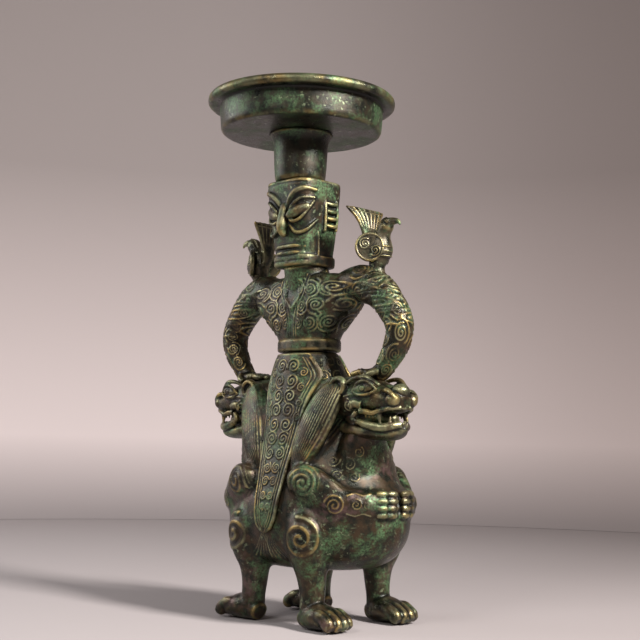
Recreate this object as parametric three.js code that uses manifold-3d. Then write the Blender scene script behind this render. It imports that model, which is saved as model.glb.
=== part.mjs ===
// Standing bronze oil lamp: a figure in a patterned robe, hands on hips, carries an oil dish on
// its head and stands on two crouching beasts set back to back. Millimetres, +Z up.
// +X is the figure's left, -Y its front. Each cast piece is one solid, seated on its neighbours
// with the same small gap, and the dish lifts out of a socket in the figure's crown.
import * as THREE from "three";
import { mergeVertices } from "three/addons/utils/BufferGeometryUtils.js";
import Module from "manifold-3d";

const wasm = await Module();
wasm.setup();

// Seats and clearances
const SEAT_GAP = 0.35; // between two pieces that rest on each other
const SLIP_GAP = 0.4; // between the stem's tenon and its socket, on the radius
const WELD = 1e-4; // points nearer than this are one point
const FLATNESS = 0.25; // facets closer to their neighbour's plane than this are merged

// Oil dish, turned about its own vertical axis
const DISH_Y = -37; // the dish stands forward of the feet's centre
const RIM_RADIUS = 102;
const RIM_HEIGHT = 10;
const RIM_WIDTH = 15; // flat land on top of the rim
const DISH_WALL = 4;
const DISH_DEPTH = 39; // from the rim's top to the underside
const DISH_SIDE_RADIUS = 89; // outside, just under the rim
const DISH_BOTTOM_RADIUS = 86; // outside, where the wall turns into the underside
const DISH_TURN_RADIUS = 5; // rounding between wall and underside

// Stem under the dish, with a spigot through the dish's floor and a tenon into the crown
const STEM_HEIGHT = 54; // from the crown to the dish's underside
const STEM_FOOT_RADIUS = 26.5;
const STEM_BELLY_RADIUS = 29;
const STEM_FLARE_RADIUS = 36;
const STEM_PROFILE = [
  // share of the height, radius beyond the belly's
  [0.37, -0.5],
  [0.54, 0],
  [0.86, 0.4],
  [0.95, 2.6],
];
const SPIGOT_RADIUS = 7;
const SPIGOT_LENGTH = 9; // above the dish's floor
const TENON_RADIUS = 15;
const TENON_LENGTH = 32;

// Wick pricket, seated on the spigot
const PRICKET_FOOT_RADIUS = 12;
const PRICKET_HEIGHT = 27;

// Figure's head
const CROWN_Z = 467;
const DISH_TOP_Z = CROWN_Z + STEM_HEIGHT + DISH_DEPTH;
const JAW_Z = 375;
const HEAD_SECTIONS = [
  // z, half width, half depth, centre y
  [JAW_Z, 23, 22, -27],
  [377.5, 27, 26, -27.6],
  [385.5, 27.6, 26.4, -28],
  [387, 26, 25, -28],
  [400, 27.5, 26.4, -28.4],
  [420, 29.5, 28.4, -29],
  [440, 31.6, 30.2, -29.8],
  [456, 33, 31.6, -30.4],
  [463.5, 33.2, 31.8, -30.6],
  [CROWN_Z, 31, 29.6, -30.6],
];

// Torso, waist and shoulders
const TORSO_Y = -18;
const BELT_LOW_Z = 284;
const BELT_HEIGHT = 14;
const BELT_HALF_WIDTH = 39.5;
const BELT_HALF_DEPTH = 28.5;
const SHOULDER_SEAM_X = 66; // the arms are cast on outside this plane
const NECK_RADIUS = 25;
const WAIST_Z = BELT_LOW_Z + BELT_HEIGHT + SEAT_GAP;
const SHOULDER_Z = 366.5;
const TORSO_SECTIONS = [
  // share of the way from waist to shoulder, half width, half depth
  [0, 36.5, 26],
  [0.083, 41, 26.4],
  [0.186, 48.5, 26.8],
  [0.303, 58, 27],
  [0.42, 68, 27.2],
  [0.553, 75, 27],
  [0.714, 78, 26],
  [0.846, 74, 24],
  [0.949, 62, 21],
  [1, 48, 16],
].map(([share, a, b]) => [WAIST_Z + share * (SHOULDER_Z - WAIST_Z), a, b]);

// Arm: x, y, z, half breadth, half thickness
const ARM_STATIONS = [
  [46, -16, 350, 16, 17],
  [62, -15, 353, 19, 20],
  [78, -14, 353.6, 19.5, 20.5],
  [98.6, -14, 344, 17.5, 17.5],
  [113.2, -14, 328.9, 15.6, 15.6],
  [124.1, -14, 314, 14.8, 14.8],
  [127, -14, 301, 14.2, 14.2],
  [121.5, -14, 286.5, 12.8, 12.8],
  [112.5, -14, 273, 10.8, 10.8],
  [104, -14, 262.5, 10.4, 9],
  [96, -14, 257.5, 10, 5],
];
const HAND_Z = 258.6;
const FINGER_RADIUS = 3.5;
const FINGER_PITCH = 6.6;

// The lower mass that the two beasts and the skirt share
const TRUNK_HALF_WIDTH = 114;
const TRUNK_HALF_DEPTH = 76;
const TRUNK_SECTIONS = [
  // z, share of the half width, share of the half depth, centre y
  [57, 0.474, 0.5, 0],
  [61, 0.675, 0.711, 0],
  [70, 0.833, 0.855, 0],
  [79, 0.912, 0.921, 0],
  [90, 0.974, 0.974, 0],
  [104, 1, 1, 0],
  [118, 1, 0.987, 0],
  [132, 0.965, 0.954, 0],
  [146, 0.895, 0.908, 0],
  [160, 0.807, 0.855, -1],
  [174, 0.728, 0.796, -2],
  [188, 0.675, 0.737, -3.5],
  [202, 0.64, 0.678, -5],
  [216, 0.596, 0.618, -7],
  [230, 0.535, 0.559, -9.5],
  [244, 0.465, 0.5, -12],
  [258, 0.404, 0.441, -14.5],
  [272, 0.355, 0.382, -16.8],
  [BELT_LOW_Z - SEAT_GAP, 0.32, 0.342, TORSO_Y],
].map(([z, a, b, y]) => [z, a * TRUNK_HALF_WIDTH, b * TRUNK_HALF_DEPTH, y]);
const TRUNK_SIDES = 24;
const SKIRT_HEM_Z = 226;

// Robe panels hung over the skirt and between the beasts, front and back
const PANEL_THICKNESS = 3;
const PANEL_TOP_Z = BELT_LOW_Z - 2;
const PANEL_OUTLINE = [
  // z, half width
  [PANEL_TOP_Z, 23],
  [270, 32],
  [257, 38],
  [244, 35],
  [228, 30],
  [190, 24.5],
  [150, 19.5],
  [118, 16.5],
];
const PANEL_TIP_Z = 94;

// Birds on the shoulders
const BIRD_X = 87;
const BIRD_Y = -10;
const BIRD_Z = 367;
const WING_RADIUS = 15.5;
const WING_THICKNESS = 4;
const WING_SPLAY = THREE.MathUtils.degToRad(40);
const TAIL_SECTIONS = [
  // height, set back, half breadth, half thickness
  [22, -4, 6, 4],
  [31, -8, 7.5, 3.6],
  [40, -9, 10, 3.2],
  [49, -10, 14, 3],
  [57, -11.5, 19.5, 3],
  [63, -14, 25.5, 3],
  [67, -16.5, 28.5, 2.4],
];

// Beast's head: x, y, z, half height, half breadth
const BEAST_Y = -15;
const BEAST_HEAD_STATIONS = [
  [46, BEAST_Y, 232, 20, 20],
  [60, BEAST_Y, 233, 24, 25],
  [78, BEAST_Y, 233.5, 23.5, 28],
  [95, BEAST_Y, 235.5, 19.5, 28],
  [108, BEAST_Y, 233, 16.5, 26],
  [120, BEAST_Y, 230.5, 14, 24],
  [131, BEAST_Y, 229.5, 11.5, 21],
  [139, BEAST_Y, 228, 7.5, 14],
];
const BEAST_JAW_STATIONS = [
  [60, BEAST_Y, 202, 9, 18],
  [78, BEAST_Y, 202, 10.5, 24],
  [96, BEAST_Y, 200.5, 9.5, 23.5],
  [110, BEAST_Y, 199, 9, 21],
  [121, BEAST_Y, 198.6, 8, 17.5],
  [129, BEAST_Y, 200.5, 5, 12.5],
  [134, BEAST_Y, 203, 2.6, 7],
];
const BEAST_NECK_STATIONS = [
  [80, BEAST_Y, 204, 13, 19],
  [75, BEAST_Y + 3, 190, 15, 24],
  [71, BEAST_Y + 8, 172, 19, 31],
  [68, 0, 148, 24, 38],
];
const EYE = { x: 102, y: 26.5, z: 243, length: 17, depth: 5, height: 7.5 };
const EAR = { x: 68, z: 245, radius: 10.5, thickness: 3.6, turns: 1.2 };
const NOSE_LOBES = [
  // x, offset across, z, radius
  [129, 0, 240.5, 9],
  [131, -14, 232.5, 8],
  [131, 14, 232.5, 8],
];
const FANG = { x: 117, across: 18, top: 221, tip: 208.5, radius: 3.4 };

// Folded foreleg, laid round the beast's breast: angle from the front, z, half height, thickness
const BREAST_HALF_WIDTH = TRUNK_HALF_WIDTH - 1;
const BREAST_HALF_DEPTH = TRUNK_HALF_DEPTH - 2;
const FORELEG_STATIONS = [
  [76, 152, 7, 5],
  [70, 150, 17, 9],
  [62, 147, 20, 10.5],
  [53, 139, 17.5, 9.5],
  [45, 130, 15, 9],
  [36, 126.5, 13.5, 9],
  [26, 126, 13, 9],
  [17, 127, 13, 8.2],
  [2, 127, 13, 6.5],
];
const TOE_ANGLES = [19, 14, 9, 2];
const TOE_RADII = [3.2, 4.6, 3.6, 4.4];
const TOE_PITCH = 7.2;
const PAW_Z = 127;
const PAW_PARTING = 0.5; // half the gap between two paws that meet

// Standing leg and its foot: x, y, z, half breadth, half depth
const LEG_STATIONS = [
  [44, 55, 118, 12, 13],
  [43.5, 60, 106, 20, 18],
  [43.5, 62, 92, 23.5, 19],
  [43, 57.5, 76, 21, 18],
  [42.5, 51, 60, 17.5, 16],
  [43.5, 49, 42, 14.5, 13.8],
  [44.5, 49.6, 26, 12.8, 13],
  [45.5, 50, 10, 13.5, 14.5],
  [45.5, 50, -3, 13.2, 14.5],
];
const FOOT_STATIONS = [
  [35, 50, 8, 9, 10],
  [46, 50, 11, 12, 14.5],
  [60, 50, 12, 11, 16],
  [74, 50, 9.5, 9, 16],
  [81, 50, 7.5, 7, 14],
];
const TOE_X = 81.5;
const FOOT_TOE_RADIUS = 6;
const FOOT_TOE_PITCH = 9.4;

/** Makes a manifold solid from a three.js geometry. */
function toSolid(geometry) {
  const bare = new THREE.BufferGeometry();
  bare.setAttribute("position", geometry.getAttribute("position"));
  if (geometry.index) bare.setIndex(geometry.index);
  const merged = mergeVertices(bare, WELD);
  const triVerts = new Uint32Array(merged.index.array);
  const vertProperties = merged.getAttribute("position").array;
  return new wasm.Manifold(new wasm.Mesh({ numProp: 3, vertProperties, triVerts }));
}

/** Points of a rounded section about a centre, `power` 2 for an ellipse and more for a squarer one. */
function section(centre, u, v, halfU, halfV, sides, power = 2) {
  const points = [];
  for (let i = 0; i < sides; i++) {
    const angle = (2 * Math.PI * i) / sides;
    const c = Math.cos(angle);
    const s = Math.sin(angle);
    const pu = Math.sign(c) * Math.abs(c) ** (2 / power) * halfU;
    const pv = Math.sign(s) * Math.abs(s) ** (2 / power) * halfV;
    points.push(centre.clone().addScaledVector(u, pu).addScaledVector(v, pv));
  }
  return points;
}

/** Skins sections that run along u x v, and closes both ends. */
function loft(sections) {
  const sides = sections[0].length;
  const points = sections.flat();
  const middle = (ring) =>
    ring.reduce((sum, p) => sum.add(p), new THREE.Vector3()).divideScalar(ring.length);
  const first = points.length;
  points.push(middle(sections[0]), middle(sections.at(-1)));
  const lastRing = (sections.length - 1) * sides;
  const index = [];
  for (let j = 0; j < sides; j++) {
    const k = (j + 1) % sides;
    index.push(first, k, j);
    index.push(first + 1, lastRing + j, lastRing + k);
    for (let base = 0; base < lastRing; base += sides) {
      index.push(base + j, base + k, base + sides + k);
      index.push(base + j, base + sides + k, base + sides + j);
    }
  }
  const geometry = new THREE.BufferGeometry().setFromPoints(points);
  geometry.setIndex(index);
  return toSolid(geometry);
}

const AXIS_X = new THREE.Vector3(1, 0, 0);
const AXIS_Y = new THREE.Vector3(0, 1, 0);
const AXIS_Z = new THREE.Vector3(0, 0, 1);

/** An upright form from level sections [z, half width, half depth, centre y]. */
function upright(rows, sides, { grow = 0, power = 2, y = 0 } = {}) {
  return loft(
    rows.map(([z, a, b, cy = y], i) => {
      const lower = i === 0 ? grow : 0;
      const centre = new THREE.Vector3(0, cy, z - lower);
      return section(centre, AXIS_X, AXIS_Y, a + grow, b + grow, sides, power);
    }),
  );
}

/** A limb through stations [x, y, z, size along side, size across side], smoothed between them. */
function limb(stations, { sides = 16, steps = 14, up = AXIS_Y, grow = 0, power = 2 } = {}) {
  const path = new THREE.CatmullRomCurve3(
    stations.map(([x, y, z]) => new THREE.Vector3(x, y, z)),
  );
  const sizes = new THREE.CatmullRomCurve3(
    stations.map(([, , , u, v]) => new THREE.Vector3(u, v, 0)),
  );
  const rings = [];
  for (let i = 0; i <= steps; i++) {
    const t = i / steps;
    const along = path.getTangent(t);
    const v = up.clone().addScaledVector(along, -up.dot(along)).normalize();
    const u = v.clone().cross(along);
    const size = sizes.getPoint(t);
    const halfU = Math.max(size.x, 0.8) + grow;
    const halfV = Math.max(size.y, 0.8) + grow;
    const centre = path.getPoint(t);
    if (i === 0) centre.addScaledVector(along, -grow);
    if (i === steps) centre.addScaledVector(along, grow);
    rings.push(section(centre, u, v, halfU, halfV, sides, power));
  }
  return loft(rings);
}

/** A block between two corners. */
function block([x0, y0, z0], [x1, y1, z1]) {
  const geometry = new THREE.BoxGeometry(x1 - x0, y1 - y0, z1 - z0);
  geometry.translate((x0 + x1) / 2, (y0 + y1) / 2, (z0 + z1) / 2);
  return toSolid(geometry);
}

/** An ellipsoid, turned by XYZ angles in degrees and then set at a point. */
function ellipsoid([x, y, z], [a, b, c], turn = [0, 0, 0], sides = 14) {
  const geometry = new THREE.SphereGeometry(1, sides, Math.round(sides / 2));
  geometry.scale(a, b, c);
  const angles = turn.map((degrees) => THREE.MathUtils.degToRad(degrees));
  geometry.applyMatrix4(new THREE.Matrix4().makeRotationFromEuler(new THREE.Euler(...angles)));
  geometry.translate(x, y, z);
  return toSolid(geometry);
}

/** A turned form about a vertical axis at [x, y], from [radius, z] points. */
function turned(profile, x, y, sides) {
  const points = profile.map(([r, z]) => new THREE.Vector2(r, z));
  const geometry = new THREE.LatheGeometry(points, sides);
  geometry.rotateX(Math.PI / 2);
  geometry.translate(x, y, 0);
  const made = toSolid(geometry);
  return made.volume() > 0 ? made : toSolid(flipped(geometry));
}

/** The same geometry with its faces turned round. */
function flipped(geometry) {
  const index = geometry.index.array;
  for (let i = 0; i < index.length; i += 3) {
    const kept = index[i + 1];
    index[i + 1] = index[i + 2];
    index[i + 2] = kept;
  }
  return geometry;
}

/** Joins solids. */
function join(...solids) {
  return solids.reduce((all, one) => all.add(one));
}

/** Takes the later solids away from the first. */
function cut(first, ...rest) {
  return rest.reduce((left, one) => left.subtract(one), first);
}

/** The same piece on the other side, across X or Y. */
function mirrored(solid, axis) {
  return solid.mirror(axis === "x" ? [1, 0, 0] : [0, 1, 0]);
}

const FAR = 400;

/** The part of a solid with x beyond a plane. */
function beyondX(solid, x) {
  return solid.intersect(block([x, -FAR, -FAR], [FAR, FAR, 2 * FAR]));
}

/** The part of a solid between two levels. */
function betweenZ(solid, low, high) {
  return solid.intersect(block([-FAR, -FAR, low], [FAR, FAR, high]));
}

// Finishes
const PATINA = new THREE.MeshStandardMaterial({ color: 0x46503f, roughness: 0.52, metalness: 0.75 });
const DARK_PATINA = new THREE.MeshStandardMaterial({
  color: 0x363d33,
  roughness: 0.5,
  metalness: 0.75,
});
const WORN_BRONZE = new THREE.MeshStandardMaterial({
  color: 0x5c5640,
  roughness: 0.45,
  metalness: 0.8,
});

/** A named mesh from a solid. */
function piece(name, solid, material) {
  const { numProp, vertProperties, triVerts } = solid.simplify(FLATNESS).getMesh();
  const positions = new Float32Array((vertProperties.length / numProp) * 3);
  for (let i = 0; i * 3 < positions.length; i++) {
    positions.set(vertProperties.subarray(i * numProp, i * numProp + 3), i * 3);
  }
  const indexed = new THREE.BufferGeometry();
  indexed.setAttribute("position", new THREE.BufferAttribute(positions, 3));
  indexed.setIndex(new THREE.BufferAttribute(new Uint32Array(triVerts), 1));
  const geometry = indexed.toNonIndexed();
  geometry.computeVertexNormals();
  const mesh = new THREE.Mesh(geometry, material);
  mesh.name = name;
  return mesh;
}

/** A named group of meshes. */
function assembly(name, ...children) {
  const group = new THREE.Group();
  group.name = name;
  group.add(...children);
  return group;
}

// Dish, stem and pricket
const DISH_FLOOR_Z = DISH_TOP_Z - DISH_DEPTH;
const RIM_LOW_Z = DISH_TOP_Z - RIM_HEIGHT;
const DISH_INSIDE_FLOOR_Z = DISH_FLOOR_Z + DISH_WALL;
const DISH_INSIDE_RADIUS = DISH_BOTTOM_RADIUS - DISH_WALL;
const RIM_INSIDE_RADIUS = RIM_RADIUS - RIM_WIDTH;
const SPIGOT_HOLE_RADIUS = SPIGOT_RADIUS + SEAT_GAP;
const SPIGOT_TOP_Z = DISH_INSIDE_FLOOR_Z + SPIGOT_LENGTH;
const STEM_LOW_Z = CROWN_Z + SEAT_GAP;
const STEM_TOP_Z = DISH_FLOOR_Z - SEAT_GAP;

function dish() {
  const turn = [];
  for (let i = 0; i <= 2; i++) {
    const angle = (Math.PI / 2) * (i / 2);
    turn.push([
      DISH_BOTTOM_RADIUS - DISH_TURN_RADIUS * (1 - Math.sin(angle)),
      DISH_FLOOR_Z + DISH_TURN_RADIUS * (1 - Math.cos(angle)),
    ]);
  }
  const profile = [
    [SPIGOT_HOLE_RADIUS, DISH_FLOOR_Z],
    ...turn,
    [DISH_SIDE_RADIUS, RIM_LOW_Z],
    [RIM_RADIUS - 1.5, RIM_LOW_Z],
    [RIM_RADIUS, RIM_LOW_Z + 1.5],
    [RIM_RADIUS, DISH_TOP_Z - 2],
    [RIM_RADIUS - 2, DISH_TOP_Z],
    [RIM_INSIDE_RADIUS, DISH_TOP_Z],
    [DISH_SIDE_RADIUS - DISH_WALL, RIM_LOW_Z],
    [DISH_INSIDE_RADIUS, DISH_INSIDE_FLOOR_Z + 4],
    [DISH_INSIDE_RADIUS - 4, DISH_INSIDE_FLOOR_Z],
    [SPIGOT_HOLE_RADIUS, DISH_INSIDE_FLOOR_Z],
    [SPIGOT_HOLE_RADIUS, DISH_FLOOR_Z],
  ];
  return turned(profile, 0, DISH_Y, 28);
}

function stem() {
  const profile = [
    [0, CROWN_Z - TENON_LENGTH],
    [TENON_RADIUS - 1.5, CROWN_Z - TENON_LENGTH],
    [TENON_RADIUS, CROWN_Z - TENON_LENGTH + 1.5],
    [TENON_RADIUS, STEM_LOW_Z],
    [STEM_FOOT_RADIUS, STEM_LOW_Z],
    ...STEM_PROFILE.map(([share, swell]) => [
      STEM_BELLY_RADIUS + swell,
      STEM_LOW_Z + share * (STEM_TOP_Z - STEM_LOW_Z),
    ]),
    [STEM_FLARE_RADIUS, STEM_TOP_Z],
    [SPIGOT_RADIUS, STEM_TOP_Z],
    [SPIGOT_RADIUS, SPIGOT_TOP_Z],
    [0, SPIGOT_TOP_Z],
  ];
  return turned(profile, 0, DISH_Y, 20);
}

function pricket() {
  const foot = DISH_INSIDE_FLOOR_Z + SEAT_GAP;
  const recess = SPIGOT_TOP_Z + SEAT_GAP;
  const profile = [
    [SPIGOT_HOLE_RADIUS, foot],
    [PRICKET_FOOT_RADIUS, foot],
    [PRICKET_FOOT_RADIUS, foot + 3],
    [SPIGOT_HOLE_RADIUS + 2, foot + 11],
    [3, foot + PRICKET_HEIGHT * 0.7],
    [1.2, foot + PRICKET_HEIGHT],
    [0, foot + PRICKET_HEIGHT],
    [0, recess],
    [SPIGOT_HOLE_RADIUS, recess],
    [SPIGOT_HOLE_RADIUS, foot],
  ];
  return turned(profile, 0, DISH_Y, 12);
}

// Figure's head: a squared block with brows, almond eyes, slab nose, straight mouth and ribbed ears
function figureHead() {
  const skull = upright(HEAD_SECTIONS, 16, { power: 4.2 });
  const noseOutline = new THREE.Shape();
  noseOutline.moveTo(-50, 440);
  noseOutline.lineTo(-62.5, 440);
  noseOutline.lineTo(-74, 412.5);
  noseOutline.lineTo(-71.5, 405);
  noseOutline.lineTo(-50, 402);
  const nose = new THREE.ExtrudeGeometry(noseOutline, {
    depth: 10,
    bevelEnabled: true,
    bevelSize: 1.2,
    bevelThickness: 1.2,
    bevelSegments: 1,
  });
  nose.applyMatrix4(
    new THREE.Matrix4().makeBasis(AXIS_Y, AXIS_Z, AXIS_X).setPosition(-5, 0, 0),
  );
  const half = [
    ellipsoid([18.5, -58, 431], [17.5, 6.5, 8], [0, -24, 24], 8),
    limb(
      [
        [4.5, -60, 434, 1.6, 2.4],
        [15, -60.5, 443, 2.6, 2.8],
        [27, -56.5, 450, 2.6, 2.8],
        [32, -47, 452, 1.4, 2],
      ],
      { sides: 5, steps: 4 },
    ),
    limb(
      [
        [8, -57.5, 418, 1.4, 1.8],
        [18, -56.5, 414.5, 1.8, 2.2],
        [26, -51, 418.5, 1.8, 2.2],
        [30.5, -41, 430, 1, 1.4],
      ],
      { sides: 5, steps: 4 },
    ),
    ear(),
  ];
  const mouth = limb(
    [
      [-24, -47.5, 391, 3, 3],
      [-12, -53.2, 391.5, 4.4, 4],
      [0, -54.2, 392, 4.8, 4.2],
      [12, -53.2, 391.5, 4.4, 4],
      [24, -47.5, 391, 3, 3],
    ],
    { sides: 6, steps: 6 },
  );
  const parting = block([-20, -64, 391.3], [20, -56, 392.7]);
  const socket = turned(
    [
      [0, CROWN_Z - TENON_LENGTH - 1],
      [TENON_RADIUS + SLIP_GAP, CROWN_Z - TENON_LENGTH - 1],
      [TENON_RADIUS + SLIP_GAP, CROWN_Z + 1],
      [0, CROWN_Z + 1],
    ],
    0,
    DISH_Y,
    20,
  );
  const face = join(skull, toSolid(nose), ...half, ...half.map((one) => mirrored(one, "x")), mouth);
  return cut(face, parting, socket);
}

/** A ribbed ear plate on the figure's left side. */
function ear() {
  const plate = block([28, -29, 413], [34.5, -13, 447]);
  const ribs = [];
  for (let i = 0; i < 4; i++) {
    const z = 417 + i * 8.6;
    ribs.push(block([30, -28, z - 2], [36.2, -14, z + 2]));
  }
  return join(plate, ...ribs);
}

// Torso with its neck and crossed collar
const torsoForm = upright(TORSO_SECTIONS, 16, { power: 2.5, y: TORSO_Y });
const armLimb = (grow) => limb(ARM_STATIONS, { sides: 8, steps: 10, grow });
const armForm = armLimb(0);

function torso() {
  const neck = limb(
    [
      [0, -18, 336, NECK_RADIUS, NECK_RADIUS],
      [0, -20, 356, NECK_RADIUS, NECK_RADIUS],
      [0, -27, 382, NECK_RADIUS - 1.5, NECK_RADIUS - 1.5],
    ],
    { sides: 12, steps: 2 },
  );
  const lapel = limb(
    [
      [27, -17, 371, 1.6, 2.6],
      [24, -32, 360, 1.8, 2.8],
      [14, -41.5, 345, 1.8, 2.8],
      [0, -45.6, 330, 1.8, 2.8],
    ],
    { sides: 5, steps: 6 },
  );
  const roots = join(armForm, mirrored(armForm, "x"));
  const whole = join(torsoForm, roots, neck, lapel, mirrored(lapel, "x"));
  const seam = SHOULDER_SEAM_X;
  return whole.intersect(block([-seam, -FAR, WAIST_Z], [seam, FAR, JAW_Z - SEAT_GAP]));
}

function belt() {
  const low = BELT_LOW_Z;
  const high = low + BELT_HEIGHT;
  const rows = [
    [low, BELT_HALF_WIDTH - 1.5, BELT_HALF_DEPTH - 1.5],
    [low + 2, BELT_HALF_WIDTH, BELT_HALF_DEPTH],
    [high - 2, BELT_HALF_WIDTH, BELT_HALF_DEPTH],
    [high, BELT_HALF_WIDTH - 1.5, BELT_HALF_DEPTH - 1.5],
  ];
  return upright(rows, 22, { y: TORSO_Y });
}

// Trunk, shared by beasts and skirt
const trunk = (grow = 0) => upright(TRUNK_SECTIONS, TRUNK_SIDES, { grow });
const trunkForm = trunk();
const trunkSeat = trunk(SEAT_GAP);

/** A shield-shaped robe panel that follows the trunk, at the front (-1) or back (1). */
function panel(side, { inner = SEAT_GAP, outer = SEAT_GAP + PANEL_THICKNESS, margin = 0 } = {}) {
  const outline = new THREE.Shape();
  const [[topZ, topHalf], ...rest] = PANEL_OUTLINE.map(([z, half]) => [z, half + margin]);
  const [lastZ, lastHalf] = rest.at(-1);
  outline.moveTo(-topHalf, topZ);
  outline.lineTo(topHalf, topZ);
  outline.splineThru(rest.map(([z, half]) => new THREE.Vector2(half, z)));
  const tip = PANEL_TIP_Z - margin;
  outline.bezierCurveTo(lastHalf, tip, -lastHalf, tip, -lastHalf, lastZ);
  outline.splineThru(
    rest.slice(0, -1).reverse().map(([z, half]) => new THREE.Vector2(-half, z)),
  );
  const prism = new THREE.ExtrudeGeometry(outline, {
    depth: FAR,
    bevelEnabled: false,
    curveSegments: 3,
  });
  prism.rotateX(Math.PI / 2);
  prism.translate(0, TORSO_Y + (side > 0 ? FAR : 0), 0);
  const shell = cut(trunk(outer), trunk(inner));
  return betweenZ(shell.intersect(toSolid(prism)), 60, PANEL_TOP_Z);
}

// Arm with its hand on the beast's head
function arm() {
  const fingers = [];
  for (let i = 0; i < 4; i++) {
    const y = -14 + (i - 1.5) * FINGER_PITCH;
    const reach = i === 0 || i === 3 ? 68 : 64;
    fingers.push(
      limb(
        [
          [94, y, HAND_Z, FINGER_RADIUS + 0.6, FINGER_RADIUS + 0.4],
          [80, y, HAND_Z + 1.6, FINGER_RADIUS, FINGER_RADIUS],
          [reach + 2, y, HAND_Z + 0.4, FINGER_RADIUS, FINGER_RADIUS],
          [reach, y, HAND_Z, 1.6, 1.6],
        ],
        { sides: 4, steps: 3 },
      ),
    );
  }
  const palm = limb(
    [
      [106, -14, 260, 5, 8],
      [97, -14, 259, 6, 12.5],
      [86, -14, 259, 5.5, 13],
      [80, -14, 259.4, 3.4, 12],
    ],
    { sides: 7, steps: 3 },
  );
  const whole = join(armForm, torsoForm, palm, ...fingers);
  return cut(beyondX(whole, 55), block([0, -FAR, 310], [SHOULDER_SEAM_X + SEAT_GAP, FAR, 400]));
}

/** Bird standing on the figure's left shoulder, facing outward. */
function bird() {
  const at = ([x, y, z, ...sizes]) => [BIRD_X + x, BIRD_Y + y, BIRD_Z + z, ...sizes];
  const body = limb(
    [
      [3, 0, 0, 8, 8],
      [4, 0, 8, 10.5, 10],
      [6, 0, 18, 14, 12.5],
      [8, 0, 29, 12.5, 11],
      [12, 0, 39, 8.5, 8],
      [17, 0, 46, 8, 7.5],
      [21, 0, 51, 5, 5],
    ].map(at),
    { sides: 8, steps: 6 },
  );
  const beak = limb(
    [
      [18, 0, 48, 5.5, 4.5],
      [27, 0, 48.5, 3.6, 3],
      [33, 0, 47.5, 2.2, 2],
      [35, 0, 44.5, 0.9, 0.9],
    ].map(at),
    { sides: 5, steps: 3 },
  );
  const wing = (side) => {
    const geometry = new THREE.CylinderGeometry(WING_RADIUS, WING_RADIUS, WING_THICKNESS, 12);
    geometry.rotateZ(-side * WING_SPLAY);
    geometry.translate(BIRD_X + 4, BIRD_Y + side * 12.5, BIRD_Z + 23);
    return toSolid(geometry);
  };
  const bands = [15, 22].map((z) => ellipsoid(at([14, 0, z]), [7, 8.5, 1.8], [0, 0, 0], 6));
  const tail = loft(
    TAIL_SECTIONS.map(([height, back, breadth, thickness]) => {
      const centre = new THREE.Vector3(...at([back, 0, height]));
      return section(centre, AXIS_X, AXIS_Y, thickness, breadth, 8, 2.6);
    }),
  );
  const eyes = [-1, 1].map((side) =>
    ellipsoid(at([20, side * 5.6, 49.5]), [2.4, 1.6, 2.4], [0, 0, 0], 6),
  );
  return join(body, beak, wing(-1), wing(1), tail, ...bands, ...eyes);
}

// Beast on the figure's left side; the other one is its mirror image
const beastSkull = (grow = 0) =>
  limb(BEAST_HEAD_STATIONS, { sides: 12, steps: 9, power: 2.5, grow });
const beastJaw = (grow = 0) => limb(BEAST_JAW_STATIONS, { sides: 10, steps: 8, power: 2.3, grow });
const beastNeck = (grow = 0) => limb(BEAST_NECK_STATIONS, { sides: 12, steps: 4, grow });
const skirtSeat = betweenZ(trunkSeat, SKIRT_HEM_Z - SEAT_GAP, 300);

/** A curled ear, as a ridge rolled into a spiral. */
function curledEar(across) {
  const stations = [];
  const count = 9;
  for (let i = 0; i < count; i++) {
    const t = i / (count - 1);
    const angle = -2.2 - t * EAR.turns * 2 * Math.PI;
    const radius = EAR.radius * (1 - 0.55 * t);
    const thickness = EAR.thickness * (i === 0 || i === count - 1 ? 0.5 : 1);
    stations.push([
      EAR.x + radius * Math.cos(angle),
      BEAST_Y + across * 25.5,
      EAR.z + radius * Math.sin(angle),
      thickness,
      thickness + 1.5,
    ]);
  }
  return join(
    limb(stations, { sides: 5, steps: 8 }),
    ellipsoid([EAR.x, BEAST_Y + across * 23, EAR.z], [9.5, 4, 9.5], [0, 0, 0], 6),
  );
}

function beastHead() {
  const features = [];
  for (const across of [-1, 1]) {
    const y = BEAST_Y + across * EYE.y;
    features.push(
      ellipsoid([EYE.x, y, EYE.z], [EYE.length, EYE.depth, EYE.height], [0, -6, across * 6], 8),
      curledEar(across),
      limb(
        [
          [82, BEAST_Y + across * 25, 246, 1.6, 2.6],
          [92, BEAST_Y + across * 25, 252, 2.2, 3.2],
          [108, BEAST_Y + across * 23.5, 252, 2.2, 3.2],
          [120, BEAST_Y + across * 21, 244, 1.4, 2.6],
        ],
        { sides: 5, steps: 4 },
      ),
      limb(
        [
          [FANG.x, BEAST_Y + across * FANG.across, FANG.top, FANG.radius, FANG.radius],
          [FANG.x + 1, BEAST_Y + across * FANG.across, FANG.tip, 1.6, 1.6],
        ],
        { sides: 5, steps: 2 },
      ),
    );
  }
  for (const [x, across, z, radius] of NOSE_LOBES) {
    features.push(
      ellipsoid([x, BEAST_Y + across, z], [radius, radius, radius * 0.85], [0, 0, 0], 7),
    );
  }
  const whole = join(beastSkull(), ...features);
  return cut(whole, trunkSeat, beastNeck(SEAT_GAP), beastJaw(SEAT_GAP));
}

function beastBody() {
  const half = join(betweenZ(trunkForm, 0, SKIRT_HEM_Z - SEAT_GAP), beastNeck());
  return cut(beyondX(half, SEAT_GAP / 2), skirtSeat);
}

/** A point on the beast's breast, at an angle from its front towards the figure's front. */
function onBreast(degrees, z, lift) {
  const angle = THREE.MathUtils.degToRad(degrees);
  return [
    (BREAST_HALF_WIDTH + lift) * Math.cos(angle),
    -(BREAST_HALF_DEPTH + lift) * Math.sin(angle),
    z,
  ];
}

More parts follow.
